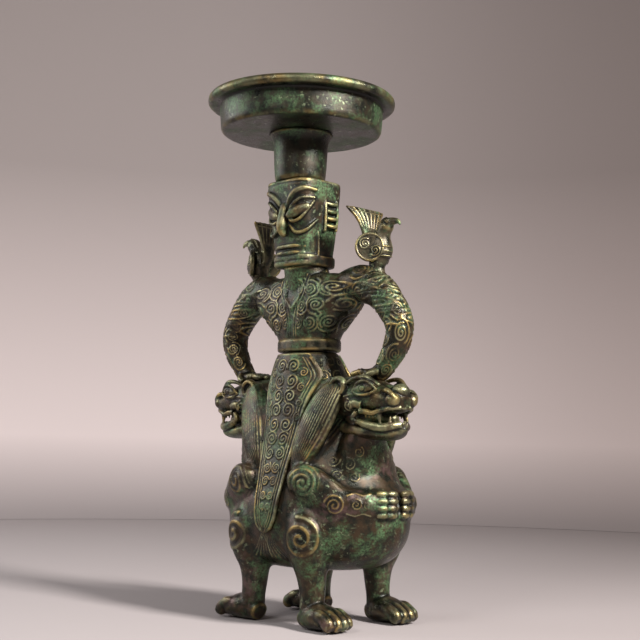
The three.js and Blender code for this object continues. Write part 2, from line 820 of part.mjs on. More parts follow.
const foreleg = (grow = 0) => {
  const upper = limb(
    FORELEG_STATIONS.map(([degrees, z, half, thick]) => [...onBreast(degrees, z, 0), thick, half]),
    { sides: 8, steps: 7, up: AXIS_Z, grow },
  );
  const toes = [-1.5, -0.5, 0.5, 1.5].map((row) =>
    limb(
      TOE_ANGLES.map((degrees, i) => [
        ...onBreast(degrees, PAW_Z + row * TOE_PITCH, 5.5 - row * row * 0.5),
        TOE_RADII[i],
        TOE_RADII[i] * 0.76,
      ]),
      { sides: 4, steps: 3, up: AXIS_Z, grow },
    ),
  );
  return join(upper, ...toes);
};

function foldedForeleg() {
  const kept = foreleg().intersect(block([0, -FAR, 0], [FAR, -PAW_PARTING, 300]));
  return cut(kept, trunkSeat, beastNeck(SEAT_GAP));
}

/** Standing leg at the figure's front, with haunch and foot. */
function standingLeg() {
  const leg = limb(LEG_STATIONS.map(([x, y, ...rest]) => [x, -y, ...rest]), {
    sides: 8,
    steps: 7,
  });
  const foot = limb(FOOT_STATIONS.map(([x, y, ...rest]) => [x, -y, ...rest]), {
    sides: 7,
    steps: 3,
  });
  const toes = [-1.5, -0.5, 0.5, 1.5].map((row) =>
    ellipsoid(
      [TOE_X - Math.abs(row) * 2, -50 + row * FOOT_TOE_PITCH * 0.88, 6.5],
      [9, FOOT_TOE_RADIUS * 0.85, FOOT_TOE_RADIUS],
      [0, 0, row * 5],
      6,
    ),
  );
  const whole = betweenZ(join(leg, foot, ...toes), 0, 140);
  return cut(whole, trunkSeat, foreleg(SEAT_GAP));
}

// Pieces of the figure's left side, and what they rest on
const frontPanelSeat = panel(-1, {
  inner: 0,
  outer: PANEL_THICKNESS + 2 * SEAT_GAP,
  margin: SEAT_GAP,
});
const leftBeastHead = cut(beastHead(), frontPanelSeat);
const frontPanel = panel(-1);
const backPanel = panel(1);
const leftArm = cut(arm(), beastSkullAndBrows());

/** The beast's head grown by the seat, for the hand that lies on it. */
function beastSkullAndBrows() {
  return join(beastSkull(SEAT_GAP), leftBeastHead);
}

const leftBird = cut(bird(), armLimb(SEAT_GAP));
const leftBody = beastBody();
const leftJaw = cut(beastJaw(), trunkSeat, beastNeck(SEAT_GAP));
const frontForeleg = foldedForeleg();
const frontLeg = cut(standingLeg(), frontPanelSeat);
const skirt = betweenZ(trunkForm, SKIRT_HEM_Z, BELT_LOW_Z);

const sides = [
  ["left", (solid) => solid],
  ["right", (solid) => mirrored(solid, "x")],
];

const lamp = assembly(
  "oil_lamp",
  assembly(
    "dish_group",
    piece("oil_dish", dish(), PATINA),
    piece("dish_stem", stem(), DARK_PATINA),
    piece("wick_pricket", pricket(), DARK_PATINA),
  ),
  assembly(
    "figure",
    piece("figure_head", figureHead(), PATINA),
    piece("figure_torso", torso(), PATINA),
    piece("waist_belt", belt(), WORN_BRONZE),
    piece("robe_skirt", skirt, PATINA),
    piece("robe_front_panel", frontPanel, WORN_BRONZE),
    piece("robe_back_panel", backPanel, WORN_BRONZE),
    ...sides.map(([side, place]) => piece(`${side}_arm`, place(leftArm), PATINA)),
    ...sides.map(([side, place]) => piece(`${side}_bird`, place(leftBird), WORN_BRONZE)),
  ),
  ...sides.map(([side, place]) =>
    assembly(
      `${side}_beast`,
      piece(`${side}_beast_body`, place(leftBody), PATINA),
      piece(`${side}_beast_head`, place(leftBeastHead), DARK_PATINA),
      piece(`${side}_beast_jaw`, place(leftJaw), WORN_BRONZE),
      piece(`${side}_front_foreleg`, place(frontForeleg), DARK_PATINA),
      piece(`${side}_back_foreleg`, place(mirrored(frontForeleg, "y")), DARK_PATINA),
      piece(`${side}_front_leg`, place(frontLeg), PATINA),
      piece(`${side}_back_leg`, place(mirrored(frontLeg, "y")), PATINA),
    ),
  ),
);

// The row's origin is the middle of the whole lamp's box, on the ground
const bounds = new THREE.Box3().setFromObject(lamp);
lamp.position.y = -(bounds.min.y + bounds.max.y) / 2;

export default lamp;
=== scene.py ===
"""A standing bronze oil lamp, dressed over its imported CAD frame.

The lamp is a robed figure with its hands on its hips. It carries an oil dish on its head, a bird
on each shoulder, and stands on two crouching beasts set back to back. Each cast form is modelled
as one smooth skin, and the thread-like relief of the robe and the beasts is raised from it.

Lengths are in millimetres from the ground under the middle of the four feet. +X is the figure's
left and -Y its front. They are turned into metres in the frame when a piece is finished.
"""

from __future__ import annotations

import logging
import math
from dataclasses import dataclass, field
from enum import Enum
from functools import partial
from typing import Callable, Iterable, Sequence

import bmesh
import bpy
import numpy as np
from mathutils import Matrix, Vector, kdtree

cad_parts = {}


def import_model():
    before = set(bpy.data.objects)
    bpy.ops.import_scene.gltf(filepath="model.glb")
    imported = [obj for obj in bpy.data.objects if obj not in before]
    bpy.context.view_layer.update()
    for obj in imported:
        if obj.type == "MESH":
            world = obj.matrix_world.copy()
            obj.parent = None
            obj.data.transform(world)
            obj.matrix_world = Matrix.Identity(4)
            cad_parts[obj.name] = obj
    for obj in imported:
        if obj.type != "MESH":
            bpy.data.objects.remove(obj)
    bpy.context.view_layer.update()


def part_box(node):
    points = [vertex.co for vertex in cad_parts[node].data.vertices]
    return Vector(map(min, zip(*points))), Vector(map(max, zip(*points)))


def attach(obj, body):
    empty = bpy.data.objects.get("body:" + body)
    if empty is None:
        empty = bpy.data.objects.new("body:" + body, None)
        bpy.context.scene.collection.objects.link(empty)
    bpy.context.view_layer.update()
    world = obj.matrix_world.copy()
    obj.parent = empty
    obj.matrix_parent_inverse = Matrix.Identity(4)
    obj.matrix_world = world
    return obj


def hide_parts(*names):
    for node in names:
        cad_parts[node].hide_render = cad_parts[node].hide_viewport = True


log = logging.getLogger("oil_lamp")

MM = 0.001

Line = np.ndarray
Colour = tuple[float, float, float, float]
Socket = bpy.types.NodeSocket
Unroll = Callable[[np.ndarray, np.ndarray], tuple[np.ndarray, np.ndarray]]


class Body(Enum):
    """The CAD bodies that pieces ride on."""

    BASE = "lamp_base"
    DISH = "lamp_dish"


class Hand(Enum):
    """Which way a scroll turns."""

    CLOCKWISE = -1
    COUNTER = 1


# The dish stands forward of the feet's centre; its axis ties this script to the frame
DISH_Y = -37.0
TORSO_Y = -18.0
MAP_RADIUS = 40.0
BEAST_Y = -15.0

TRUNK_SECTIONS = [
    # z, half width, half depth, centre y
    (57, 54, 38, 0),
    (61, 77, 54, 0),
    (70, 95, 65, 0),
    (79, 104, 70, 0),
    (90, 111, 74, 0),
    (104, 114, 76, 0),
    (118, 114, 75, 0),
    (132, 110, 72.5, 0),
    (146, 102, 69, 0),
    (160, 92, 65, -1),
    (174, 83, 60.5, -2),
    (188, 77, 56, -3.5),
    (202, 73, 51.5, -5),
    (216, 68, 47, -7),
    (230, 61, 42.5, -9.5),
    (244, 53, 38, -12),
    (258, 46, 33.5, -14.5),
    (272, 40.5, 29, -16.8),
    (284, 36.5, 26, TORSO_Y),
]
TORSO_SECTIONS = [
    (296, 36, 25.6, TORSO_Y),
    (304, 41, 26.4, TORSO_Y),
    (311, 48.5, 26.8, TORSO_Y),
    (319, 58, 27, TORSO_Y),
    (327, 67, 27.2, TORSO_Y),
    (336, 74, 27, TORSO_Y),
    (347, 77, 26, TORSO_Y),
    (356, 73, 24, TORSO_Y),
    (363, 61, 21, TORSO_Y),
    (367, 46, 15, TORSO_Y),
]
ARM_STATIONS = [
    # x, y, z, half breadth, half thickness
    (46, -16, 350, 16, 17),
    (62, -15, 353, 19, 20),
    (78, -14, 353.6, 19.5, 20.5),
    (98.6, -14, 344, 17.5, 17.5),
    (113.2, -14, 328.9, 15.6, 15.6),
    (123.6, -14, 314, 14.4, 14.6),
    (126, -14, 301, 13.6, 14),
    (121.5, -14, 286.5, 12.8, 12.8),
    (112.5, -14, 273, 10.8, 10.8),
    (104, -14, 262.5, 10.4, 9),
    (96, -14, 258.5, 10, 5),
]
LEG_STATIONS = [
    (44, -55, 118, 12, 13),
    (44, -59, 106, 20, 17),
    (44, -60, 92, 23.5, 16.8),
    (43, -57.5, 76, 21, 17.4),
    (42.5, -51, 60, 17.5, 16),
    (43.5, -49, 42, 14.5, 13.8),
    (44.5, -49.6, 26, 12.8, 13),
    (45.5, -50, 12, 13.5, 14.5),
    (45.5, -50, 3, 12, 13.5),
]
MANE_FACING = (0.08, -1.0, 0.1)
MANE_STATIONS = [
    (63, -36, 250, 10, 6),
    (59, -42, 238, 16.5, 7.5),
    (51, -48.5, 218, 19.5, 8.4),
    (42.5, -55, 194, 18, 8),
    (35, -60, 174, 13, 6),
    (31, -62, 160, 6, 3),
]
HEAD_SECTIONS = [
    (375, 26, 25, -27.6),
    (377, 27.6, 26.4, -27.8),
    (385.5, 27.8, 26.6, -28),
    (387.5, 26, 25, -28),
    (400, 27.5, 26.4, -28.4),
    (420, 29.5, 28.4, -29),
    (440, 31.6, 30.2, -29.8),
    (456, 33, 31.6, -30.4),
    (464.5, 33.2, 31.8, -30.6),
    (467, 32.2, 30.8, -30.6),
]
PANEL_OUTLINE = [
    # z, half width of the robe's shield-shaped panel
    (282, 23),
    (270, 32),
    (257, 38.5),
    (244, 35),
    (228, 30),
    (190, 24.5),
    (150, 19.5),
    (118, 16.5),
    (106, 13.5),
    (98, 8),
    (94.4, 0.6),
]


def colour(code: str) -> Colour:
    """Turns an sRGB hex colour into linear light.

    Args:
        code: six hex digits, such as "46503f".

    Returns:
        Linear red, green, blue and full alpha.
    """
    channels = [int(code[i : i + 2], 16) / 255 for i in (0, 2, 4)]
    linear = [c / 12.92 if c <= 0.04045 else ((c + 0.055) / 1.055) ** 2.4 for c in channels]
    return (linear[0], linear[1], linear[2], 1.0)


def smooth_path(points: Sequence[Sequence[float]], steps: int) -> np.ndarray:
    """Runs a smooth curve through points, with all their numbers carried along.

    Args:
        points: rows of numbers, evenly important.
        steps: rows wanted, less one.

    Returns:
        steps + 1 rows.
    """
    rows = np.asarray(points, float)
    padded = np.vstack([2 * rows[0] - rows[1], rows, 2 * rows[-1] - rows[-2]])
    t = np.linspace(0, len(rows) - 1, steps + 1)
    i = np.minimum(t.astype(int), len(rows) - 2)
    f = (t - i)[:, None]
    a, b, c, d = padded[i], padded[i + 1], padded[i + 2], padded[i + 3]
    bend = 2 * a - 5 * b + 4 * c - d
    twist = 3 * b - a - 3 * c + d
    return 0.5 * (2 * b + (c - a) * f + bend * f**2 + twist * f**3)


def spiral(
    centre: tuple[float, float],
    radius: float,
    turns: float = 2.2,
    start: float = 0.0,
    hand: Hand = Hand.COUNTER,
    inner: float = 0.12,
) -> Line:
    """A flat scroll from its outer end to its eye.

    Args:
        centre: where its eye is.
        radius: of the outer end.
        turns: how often it goes round.
        start: angle of the outer end, in degrees.
        hand: which way it turns.
        inner: radius of the eye, as a share of the outer one.

    Returns:
        Points along it.
    """
    count = max(16, int(radius * turns * 9))
    t = np.linspace(0, 1, count)
    angle = math.radians(start) + hand.value * t * turns * 2 * math.pi
    r = radius * (1 - (1 - inner) * t)
    return np.stack([centre[0] + r * np.cos(angle), centre[1] + r * np.sin(angle)], 1)


def stroke(*points: tuple[float, float], steps: int = 60) -> Line:
    """A smooth flat line through points.

    Args:
        points: at least two of them.
        steps: how finely it is divided.

    Returns:
        Points along it.
    """
    return smooth_path(points, steps)


def resampled(line: Line, spacing: float = 0.45) -> Line:
    """The same line with even, close points.

    Args:
        line: any flat line.
        spacing: distance between points.

    Returns:
        The new points.
    """
    steps = np.linalg.norm(np.diff(line, axis=0), axis=1)
    along = np.concatenate([[0], np.cumsum(steps)])
    count = max(2, int(along[-1] / spacing) + 1)
    at = np.linspace(0, along[-1], count)
    return np.stack([np.interp(at, along, line[:, k]) for k in range(2)], 1)


@dataclass(frozen=True)
class Relief:
    """Lines raised from a surface through a flat map of it.

    Attributes:
        unroll: gives each point's place on the flat map, and how fully it takes part.
        lines: the flat lines.
        width: half width of a ridge.
        height: how far a ridge stands up; below 0 it is cut in.
        pair: where above 0, two ridges this far to each side of the line.
    """

    unroll: Unroll
    lines: Sequence[Line]
    width: float = 1.15
    height: float = 0.8
    pair: float = 0.0

    def lift(self, points: np.ndarray, normals: np.ndarray) -> np.ndarray:
        """How far each point of a surface rises.

        Args:
            points: the surface's points.
            normals: its outward directions.

        Returns:
            A height for each point.
        """
        flat, share = self.unroll(points, normals)
        raised = np.zeros(len(points))
        taking_part = np.nonzero(share > 0.01)[0]
        if not len(taking_part) or not self.lines:
            return raised
        dots = np.concatenate([resampled(line) for line in self.lines])
        tree = kdtree.KDTree(len(dots))
        for i, (u, v) in enumerate(dots):
            tree.insert((u, v, 0.0), i)
        tree.balance()
        far = np.array([tree.find((u, v, 0.0))[2] for u, v in flat[taking_part]])
        off = np.abs(far - self.pair) / self.width
        raised[taking_part] = self.height * np.exp(-(off**2)) * share[taking_part]
        return raised


def ramp(value: np.ndarray, low: float, high: float) -> np.ndarray:
    """A soft step from 0 at low to 1 at high.

    Args:
        value: what is stepped.
        low: where it starts to rise.
        high: where it is full.

    Returns:
        Values from 0 to 1.
    """
    t = np.clip((value - low) / (high - low), 0, 1)
    return t * t * (3 - 2 * t)


def facing(
    centre: tuple[float, float, float],
    toward: tuple[float, float, float],
    reach: float,
    folded: bool = True,
) -> Unroll:
    """A flat map seen along a direction, round a centre.

    Args:
        centre: the map's origin.
        toward: the outward direction there.
        reach: radius within which points take part.
        folded: whether the four quarters of the beasts share the map.

    Returns:
        The map.
    """
    n = Vector(toward).normalized()
    across = Vector((0, 0, 1)).cross(n).normalized()
    up = n.cross(across)

    def unroll(points: np.ndarray, normals: np.ndarray) -> tuple[np.ndarray, np.ndarray]:
        p, q = points.copy(), normals.copy()
        if folded:
            q[:, 0] *= np.sign(p[:, 0])
            q[:, 1] *= -np.sign(p[:, 1])
            p[:, 0] = np.abs(p[:, 0])
            p[:, 1] = -np.abs(p[:, 1])
        away = p - np.array(centre)
        flat = np.stack([away @ np.array(across), away @ np.array(up)], 1)
        near = 1 - ramp(np.linalg.norm(flat, axis=1), reach - 1, reach + 1)
        lit = ramp(q @ np.array(n), 0.05, 0.35)
        deep = 1 - ramp(np.abs(away @ np.array(n)), reach * 0.9, reach * 1.1)
        return flat, near * lit * deep

    return unroll


def around(
    centre_y: float,
    radius: float,
    inside: Callable[[np.ndarray, np.ndarray], np.ndarray],
) -> Unroll:
    """A map unrolled from a cylinder about a vertical axis.

    Args:
        centre_y: where the axis stands.
        radius: of the cylinder, so that the map is in millimetres.
        inside: how fully a place on the map takes part, from its u and v.

    Returns:
        The map: u is 0 at the figure's front and grows to its left, v is the height.
    """

    def unroll(points: np.ndarray, _normals: np.ndarray) -> tuple[np.ndarray, np.ndarray]:
        u = np.arctan2(points[:, 0], -(points[:, 1] - centre_y)) * radius
        v = points[:, 2]
        return np.stack([u, v], 1), inside(u, v)

    return unroll


def band(
    rise: tuple[float, float],
    fall: tuple[float, float],
    aside: tuple[float, float] | None = None,
) -> Callable[[np.ndarray, np.ndarray], np.ndarray]:
    """How fully a place between two heights takes part.

    Args:
        rise: heights between which the lower edge fades in.
        fall: heights between which the upper edge fades out.
        aside: where given, distances from the middle between which the inner edge fades in.

    Returns:
        The share, from a place's u and v.
    """

    def inside(u: np.ndarray, v: np.ndarray) -> np.ndarray:
        """The share at places on the map."""
        share = ramp(v, *rise) * (1 - ramp(v, *fall))
        return share if aside is None else share * ramp(np.abs(u), *aside)

    return inside


@dataclass
class Wax:
    """Closed shells modelled over one another, then cast as one smooth skin."""

    mesh: bmesh.types.BMesh = field(default_factory=bmesh.new)

    def ring(self, matrix: Matrix, sides: int, power: float, cap: bool) -> list:
        """Adds one section.

        Args:
            matrix: its place and size.
            sides: its points.
            power: 2 for an ellipse, more for a squarer one.
            cap: whether it is closed by a face.

        Returns:
            Its edges.
        """
        made = bmesh.ops.create_circle(self.mesh, cap_ends=cap, segments=sides, radius=1.0)
        for v in made["verts"]:
            x, y = v.co.x, v.co.y
            v.co.x = math.copysign(abs(x) ** (2 / power), x)
            v.co.y = math.copysign(abs(y) ** (2 / power), y)
        bmesh.ops.transform(self.mesh, matrix=matrix, verts=made["verts"])
        return list({e for v in made["verts"] for e in v.link_edges})

    def skin(self, matrices: Sequence[Matrix], sides: int, power: float) -> None:
        """Bridges sections into a closed shell.

        Args:
            matrices: the sections in order.
            sides: points of each.
            power: their squareness.
        """
        last = len(matrices) - 1
        loops = [self.ring(m, sides, power, i in (0, last)) for i, m in enumerate(matrices)]
        for low, high in zip(loops, loops[1:]):
            bmesh.ops.bridge_loops(self.mesh, edges=low + high)

    def upright(
        self, sections: Sequence[
            Sequence[float]
        ], sides: int = 64, steps: int = 48, power: float = 2.0
    ) -> "Wax":
        """Adds a form from level sections.

        Args:
            sections: rows of height, half width, half depth and centre y.
            sides: points of a section.
            steps: sections, less one.
            power: their squareness.

        Returns:
            This wax.
        """
        rows = smooth_path(sections, steps)
        matrices = [
            Matrix.Translation((0, y, z)) @ Matrix.Diagonal((a, b, 1, 1)) for z, a, b, y in rows
        ]
        self.skin(matrices, sides, power)
        return self

    def limb(
        self,
        stations: Sequence[Sequence[float]],
        sides: int = 24,
        steps: int = 28,
        up: tuple[float, float, float] = (0, 1, 0),
        power: float = 2.0,
    ) -> "Wax":
        """Adds a form along a curve.

        Args:
            stations: rows of x, y, z, half size along the side, half size across it.
            sides: points of a section.
            steps: sections, less one.
            up: what the across direction leans towards.
            power: squareness of the sections.

        Returns:
            This wax.
        """
        rows = smooth_path(stations, steps)
        ways = np.gradient(rows[:, :3], axis=0)
        matrices = []
        for row, way in zip(rows, ways):
            along = Vector(way).normalized()
            v = (Vector(up) - along * Vector(up).dot(along)).normalized()
            u = v.cross(along)
            a, b = max(row[3], 0.4), max(row[4], 0.4)
            columns = (*(u * a), 0), (*(v * b), 0), (*along, 0), (*row[:3], 1)
            matrices.append(Matrix(columns).transposed())
        self.skin(matrices, sides, power)
        return self

    def ball(
        self,
        centre: tuple[float, float, float],
        radii: tuple[float, float, float],
        turn: tuple[float, float, float] = (0, 0, 0),
    ) -> "Wax":
        """Adds an ellipsoid.

        Args:
            centre: its middle.
            radii: its half sizes.
            turn: degrees about X, then Y, then Z.

        Returns:
            This wax.
        """
        matrix = Matrix.Translation(centre)
        for axis, degrees in zip("ZYX", reversed(turn)):
            matrix = matrix @ Matrix.Rotation(math.radians(degrees), 4, axis)
        matrix = matrix @ Matrix.Diagonal((*radii, 1))
        bmesh.ops.create_uvsphere(self.mesh, u_segments=28, v_segments=18, radius=1.0, matrix=matrix)
        return self

    def disc(
        self, centre: tuple[float, float, float], radius: float, thickness: float, splay: float
    ) -> "Wax":
        """Adds a round plate that faces sideways.

        Args:
            centre: its middle.
            radius: of its edge.
            thickness: across it.
            splay: degrees that it leans outward from the Y axis.

        Returns:
            This wax.
        """
        matrix = (
            Matrix.Translation(centre)
            @ Matrix.Rotation(math.radians(splay), 4, "Z")
            @ Matrix.Rotation(math.pi / 2, 4, "X")
        )
        bmesh.ops.create_cone(
            self.mesh,
            cap_ends=True,
            segments=48,
            radius1=radius,
            radius2=radius,
            depth=thickness,
            matrix=matrix,
        )
        return self

    @property
    def everything(self) -> list:
        """All of its points, edges and faces."""
        return self.mesh.verts[:] + self.mesh.edges[:] + self.mesh.faces[:]

    def mirrored(self, axis: str) -> "Wax":
        """Adds the mirror image of all that is there.

        Args:
            axis: "X" or "Y".

        Returns:
            This wax.
        """
        copied = bmesh.ops.duplicate(self.mesh, geom=self.everything)
        verts = [g for g in copied["geom"] if isinstance(g, bmesh.types.BMVert)]
        flip = Matrix.Diagonal((-1, 1, 1, 1)) if axis == "X" else Matrix.Diagonal((1, -1, 1, 1))
        bmesh.ops.transform(self.mesh, matrix=flip, verts=verts)
        return self

    def blended(self, core: "Wax", grain: float = 2.4, smoothing: int = 16) -> "Wax":
        """Adds another wax with its joins flowed together.

        Args:
            core: the other wax, used up here.
            grain: size of its facets.
            smoothing: rounds of softening.

        Returns:
            This wax.
        """
        obj = core.cast("core", grain, smoothing)
        self.mesh.from_mesh(obj.data)
        data = obj.data
        bpy.data.objects.remove(obj)
        bpy.data.meshes.remove(data)
        return self

    def cast(self, name: str, grain: float, smoothing: int) -> bpy.types.Object:
        """Fuses the shells into one even skin.

        Args:
            name: of the new object.
            grain: size of its facets.
            smoothing: rounds of softening.

        Returns:
            The object, in millimetres still.
        """
        bmesh.ops.recalc_face_normals(self.mesh, faces=self.mesh.faces[:])
        rough = bpy.data.meshes.new(name)
        self.mesh.to_mesh(rough)
        self.mesh.free()
        obj = bpy.data.objects.new(name, rough)
        bpy.context.scene.collection.objects.link(obj)
        remesh = obj.modifiers.new("skin", "REMESH")
        remesh.mode = "VOXEL"
        remesh.voxel_size = grain
        soften = obj.modifiers.new("soften", "SMOOTH")
        soften.factor = 0.5
        soften.iterations = smoothing
        graph = bpy.context.evaluated_depsgraph_get()
        made = bpy.data.meshes.new_from_object(obj.evaluated_get(graph))
        obj.modifiers.clear()
        obj.data = made
        bpy.data.meshes.remove(rough)
        return obj


def points_of(obj: bpy.types.Object) -> np.ndarray:
    """The places of a mesh's points.

    Args:
        obj: a mesh object.

    Returns:
        One row for each point.
    """
    co = np.empty(len(obj.data.vertices) * 3)
    obj.data.vertices.foreach_get("co", co)
    return co.reshape(-1, 3)


def normals_of(obj: bpy.types.Object) -> np.ndarray:
    """The outward directions at a mesh's points.

    Args:
        obj: a mesh object.

    Returns:
        One row for each point.
    """
    way = np.empty(len(obj.data.vertices) * 3)
    obj.data.vertex_normals.foreach_get("vector", way)
    return way.reshape(-1, 3)


def set_points(obj: bpy.types.Object, points: np.ndarray) -> None:
    """Moves a mesh's points.

    Args:
        obj: a mesh object.
        points: one row for each point.
    """
    obj.data.vertices.foreach_set("co", points.ravel())
    obj.data.update()


def emboss(obj: bpy.types.Object, reliefs: Iterable[Relief]) -> None:
    """Raises relief from a skin.

    Args:
        obj: the skin.
        reliefs: what is raised; where two overlap, the stronger one counts.
    """
    points, normals = points_of(obj), normals_of(obj)
    total = np.zeros(len(points))
    for relief in reliefs:
        lift = relief.lift(points, normals)
        stronger = np.abs(lift) > np.abs(total)
        total[stronger] = lift[stronger]
    set_points(obj, points + normals * total[:, None])


def note_relief_for_wear_and_shade(obj: bpy.types.Object, reach: float = 2.6) -> None:
    """Stores how far each point stands out from its surroundings, for the finish to wear on ridges
    and to paint shade into hollows.

    Args:
        obj: a mesh object in millimetres.
        reach: how wide the surroundings are.
    """
    points = points_of(obj)
    edges = np.empty(len(obj.data.edges) * 2, np.int64)
    obj.data.edges.foreach_get("vertices", edges)
    a, b = edges.reshape(-1, 2).T
    spacing = float(np.median(np.linalg.norm(points[a] - points[b], axis=1)))
    rounds = int(np.clip((reach / spacing) ** 2, 1, 16))
    count = np.bincount(a, minlength=len(points)) + np.bincount(b, minlength=len(points))
    soft = points.copy()
    for _ in range(rounds):
        total = np.stack(
            [
                np.bincount(a, soft[b, k], len(points)) + np.bincount(b, soft[a, k], len(points))
                for k in range(3)
            ],
            1,
        )
        soft = total / np.maximum(count, 1)[:, None]
    out = ((points - soft) * normals_of(obj)).sum(1)
    # The wear attribute also marks the hollows that the finish darkens with painted shade.
    wear = obj.data.attributes.new("wear", "FLOAT", "POINT")
    wear.data.foreach_set("value", out.astype(np.float32))


def add_node(
    tree: bpy.types.NodeTree, kind: str, inputs: dict | None = None, **settings: object
) -> bpy.types.Node:
    """Adds a node, sets it and links what feeds it.

    Args:
        tree: where it goes.
        kind: its type.
        inputs: a value or a socket for each input that is not left as it is.
        settings: its other settings.

    Returns:
        The new node.
    """
    new = tree.nodes.new(kind)
    for key, value in settings.items():
        setattr(new, key, value)
    for key, value in (inputs or {}).items():
        if isinstance(value, bpy.types.NodeSocket):
            tree.links.new(value, new.inputs[key])
        else:
            new.inputs[key].default_value = value
    return new


@dataclass(frozen=True)
class Patina:
    """A bronze surface, aged.

    Attributes:
        name: of the material.
        dark: the main dark skin.
        brown: its brown clouds.
        green: malachite patches.
        rust: cuprite, reddish.
        worn: metal shown on worn ridges.
        green_share: from 0 to 1, how much is green.
        rust_share: from 0 to 1, how much is reddish.
        gloss: base roughness.
        gilt: the warmer worn metal beside it.
        wear: how strongly the ridges are worn.
        bloom: pale mineral speckle.
        painted_hollow_shade: painted shade, near black, laid in hollows and the creases between
            parts.
    """

    name: str
    dark: str = "1b1d15"
    brown: str = "392c1d"
    green: str = "52704c"
    rust: str = "574341"
    worn: str = "9c9a76"
    green_share: float = 0.5
    rust_share: float = 0.4
    gloss: float = 0.26
    gilt: str = "a8905a"
    wear: float = 0.75
    bloom: str = "98a582"
    painted_hollow_shade: str = "0d0f0c"

    def material(self) -> bpy.types.Material:
        """Builds the material.

        Returns:
            The new material.
        """
        made = bpy.data.materials.new(self.name)
        made.use_nodes = True
        tree = made.node_tree
        tree.nodes.clear()

        node = partial(add_node, tree)
        place = node("ShaderNodeTexCoord").outputs["Object"]

        def clouds(scale: float, detail: float, offset: float, rough: float = 0.6) -> Socket:
            """Adds noise of one size.

            Args:
                scale: how many of its clouds there are to a metre.
                detail: how many finer layers lie over them.
                offset: which part of the noise is taken.
                rough: how strong the finer layers are.

            Returns:
                The noise.
            """
            moved = node("ShaderNodeVectorMath", {0: place, 1: (offset, offset, offset)})
            return node(
                "ShaderNodeTexNoise",
                {"Vector": moved.outputs[0], "Scale": scale, "Detail": detail, "Roughness": rough},
            ).outputs["Fac"]

        def step(value: Socket, low: float, high: float) -> Socket:
            """Adds a soft step between two levels.

            Args:
                value: what is stepped.
                low: level at which it is 0.
                high: level at which it is 1.

            Returns:
                The step.
            """
            return node(
                "ShaderNodeMapRange",
                {"Value": value, "From Min": low, "From Max": high},
                interpolation_type="SMOOTHSTEP",
            ).outputs["Result"]

        def times(a: Socket, b: Socket | float) -> Socket:
            """Multiplies two values.

            Args:
                a: one value.
                b: the other.

            Returns:
                Their product.
            """
            return node("ShaderNodeMath", {0: a, 1: b}, operation="MULTIPLY").outputs[0]

        def mixed(share: Socket, a: Colour | Socket, b: Colour | Socket) -> Socket:
            """Lays one colour over another.

            Args:
                share: how much of the second shows.
                a: the first colour.
                b: the second.

            Returns:
                The colour seen.
            """
            return node(
                "ShaderNodeMix",
                {"Factor": share, 6: a, 7: b},
                data_type="RGBA",
            ).outputs[2]

        # The wear attribute drives both the worn ridges and the painted shade in hollows.
        wear = node("ShaderNodeAttribute", attribute_name="wear").outputs["Fac"]
        fine = clouds(420, 4, 0.3)
        middle = clouds(95, 6, 1.1)
        wide = clouds(30, 7, 2.7, 0.66)
        ground = mixed(step(middle, 0.4, 0.62), colour(self.dark), colour(self.brown))
        red_mask = step(
            clouds(26, 8, 5.2, 0.7), 0.66 - 0.3 * self.rust_share, 0.8 - 0.3 * self.rust_share
        )
        reddened = mixed(times(red_mask, step(middle, 0.36, 0.6)), ground, colour(self.rust))
        green_mask = step(wide, 0.64 - 0.3 * self.green_share, 0.8 - 0.3 * self.green_share)
        bloom = mixed(times(green_mask, step(fine, 0.3, 0.66)), reddened, colour(self.green))
        speckle = times(step(clouds(210, 5, 7.7), 0.57, 0.68), step(clouds(38, 4, 3.1), 0.42, 0.62))
        greened = mixed(times(speckle, 0.55), bloom, colour(self.bloom))
        # Painted shade: hollows and creases, where a point sinks below its surroundings, are darkened
        # to near black.
        hollow_shade_mask = step(wear, -0.04, -0.28)
        shaded = mixed(times(hollow_shade_mask, 0.9), greened, colour(self.painted_hollow_shade))
        ridge = times(step(wear, 0.06, 0.38), step(clouds(52, 6, 8.3), 0.36, 0.62))
        tint = mixed(step(clouds(30, 4, 12.1), 0.42, 0.6), colour(self.worn), colour(self.gilt))
        top = mixed(times(ridge, self.wear), shaded, tint)
        rough_base = node(
            "ShaderNodeMapRange",
            {"Value": middle, "To Min": self.gloss - 0.1, "To Max": self.gloss + 0.2},
        ).outputs["Result"]
        roughness = node(
            "ShaderNodeMath", {0: rough_base, 1: times(green_mask, 0.14)}, operation="ADD"
        ).outputs[0]
        metal = node("ShaderNodeMath", {0: times(ridge, 0.3), 1: 0.55}, operation="ADD").outputs[0]
        grain = node(
            "ShaderNodeMath", {0: times(fine, 0.35), 1: clouds(1300, 3, 4.0)}, operation="ADD"
        )
        pits = node("ShaderNodeMath", {0: grain.outputs[0], 1: times(middle, 0.9)}, operation="ADD")
        bump = node(
            "ShaderNodeBump", {"Strength": 0.42, "Distance": 0.0006, "Height": pits.outputs[0]}
        )
        shader = node(
            "ShaderNodeBsdfPrincipled",
            {
                "Base Color": top,
                "Metallic": metal,
                "Roughness": roughness,
                "Normal": bump.outputs["Normal"],
            },
        )
        node("ShaderNodeOutputMaterial", {"Surface": shader.outputs["BSDF"]})
        return made


# Green-black bronze of the figure, its robe and the beasts
ROBE_BRONZE = Patina("patinated_bronze_robe", green_share=0.58, rust_share=0.3)
BEAST_BRONZE = Patina("patinated_bronze_beasts", green_share=0.52, rust_share=0.44)
HEAD_BRONZE = Patina("patinated_bronze_head", green_share=0.6, rust_share=0.2, gloss=0.34)
DISH_BRONZE = Patina(
    "patinated_bronze_dish",
    dark="191b15",
    brown="2c261b",
    green="44603f",
    green_share=0.6,
    rust_share=0.12,
    wear=0.35,
)
BIRD_BRONZE = Patina("patinated_bronze_birds", brown="4d4636", green_share=0.5, rust_share=0.2)


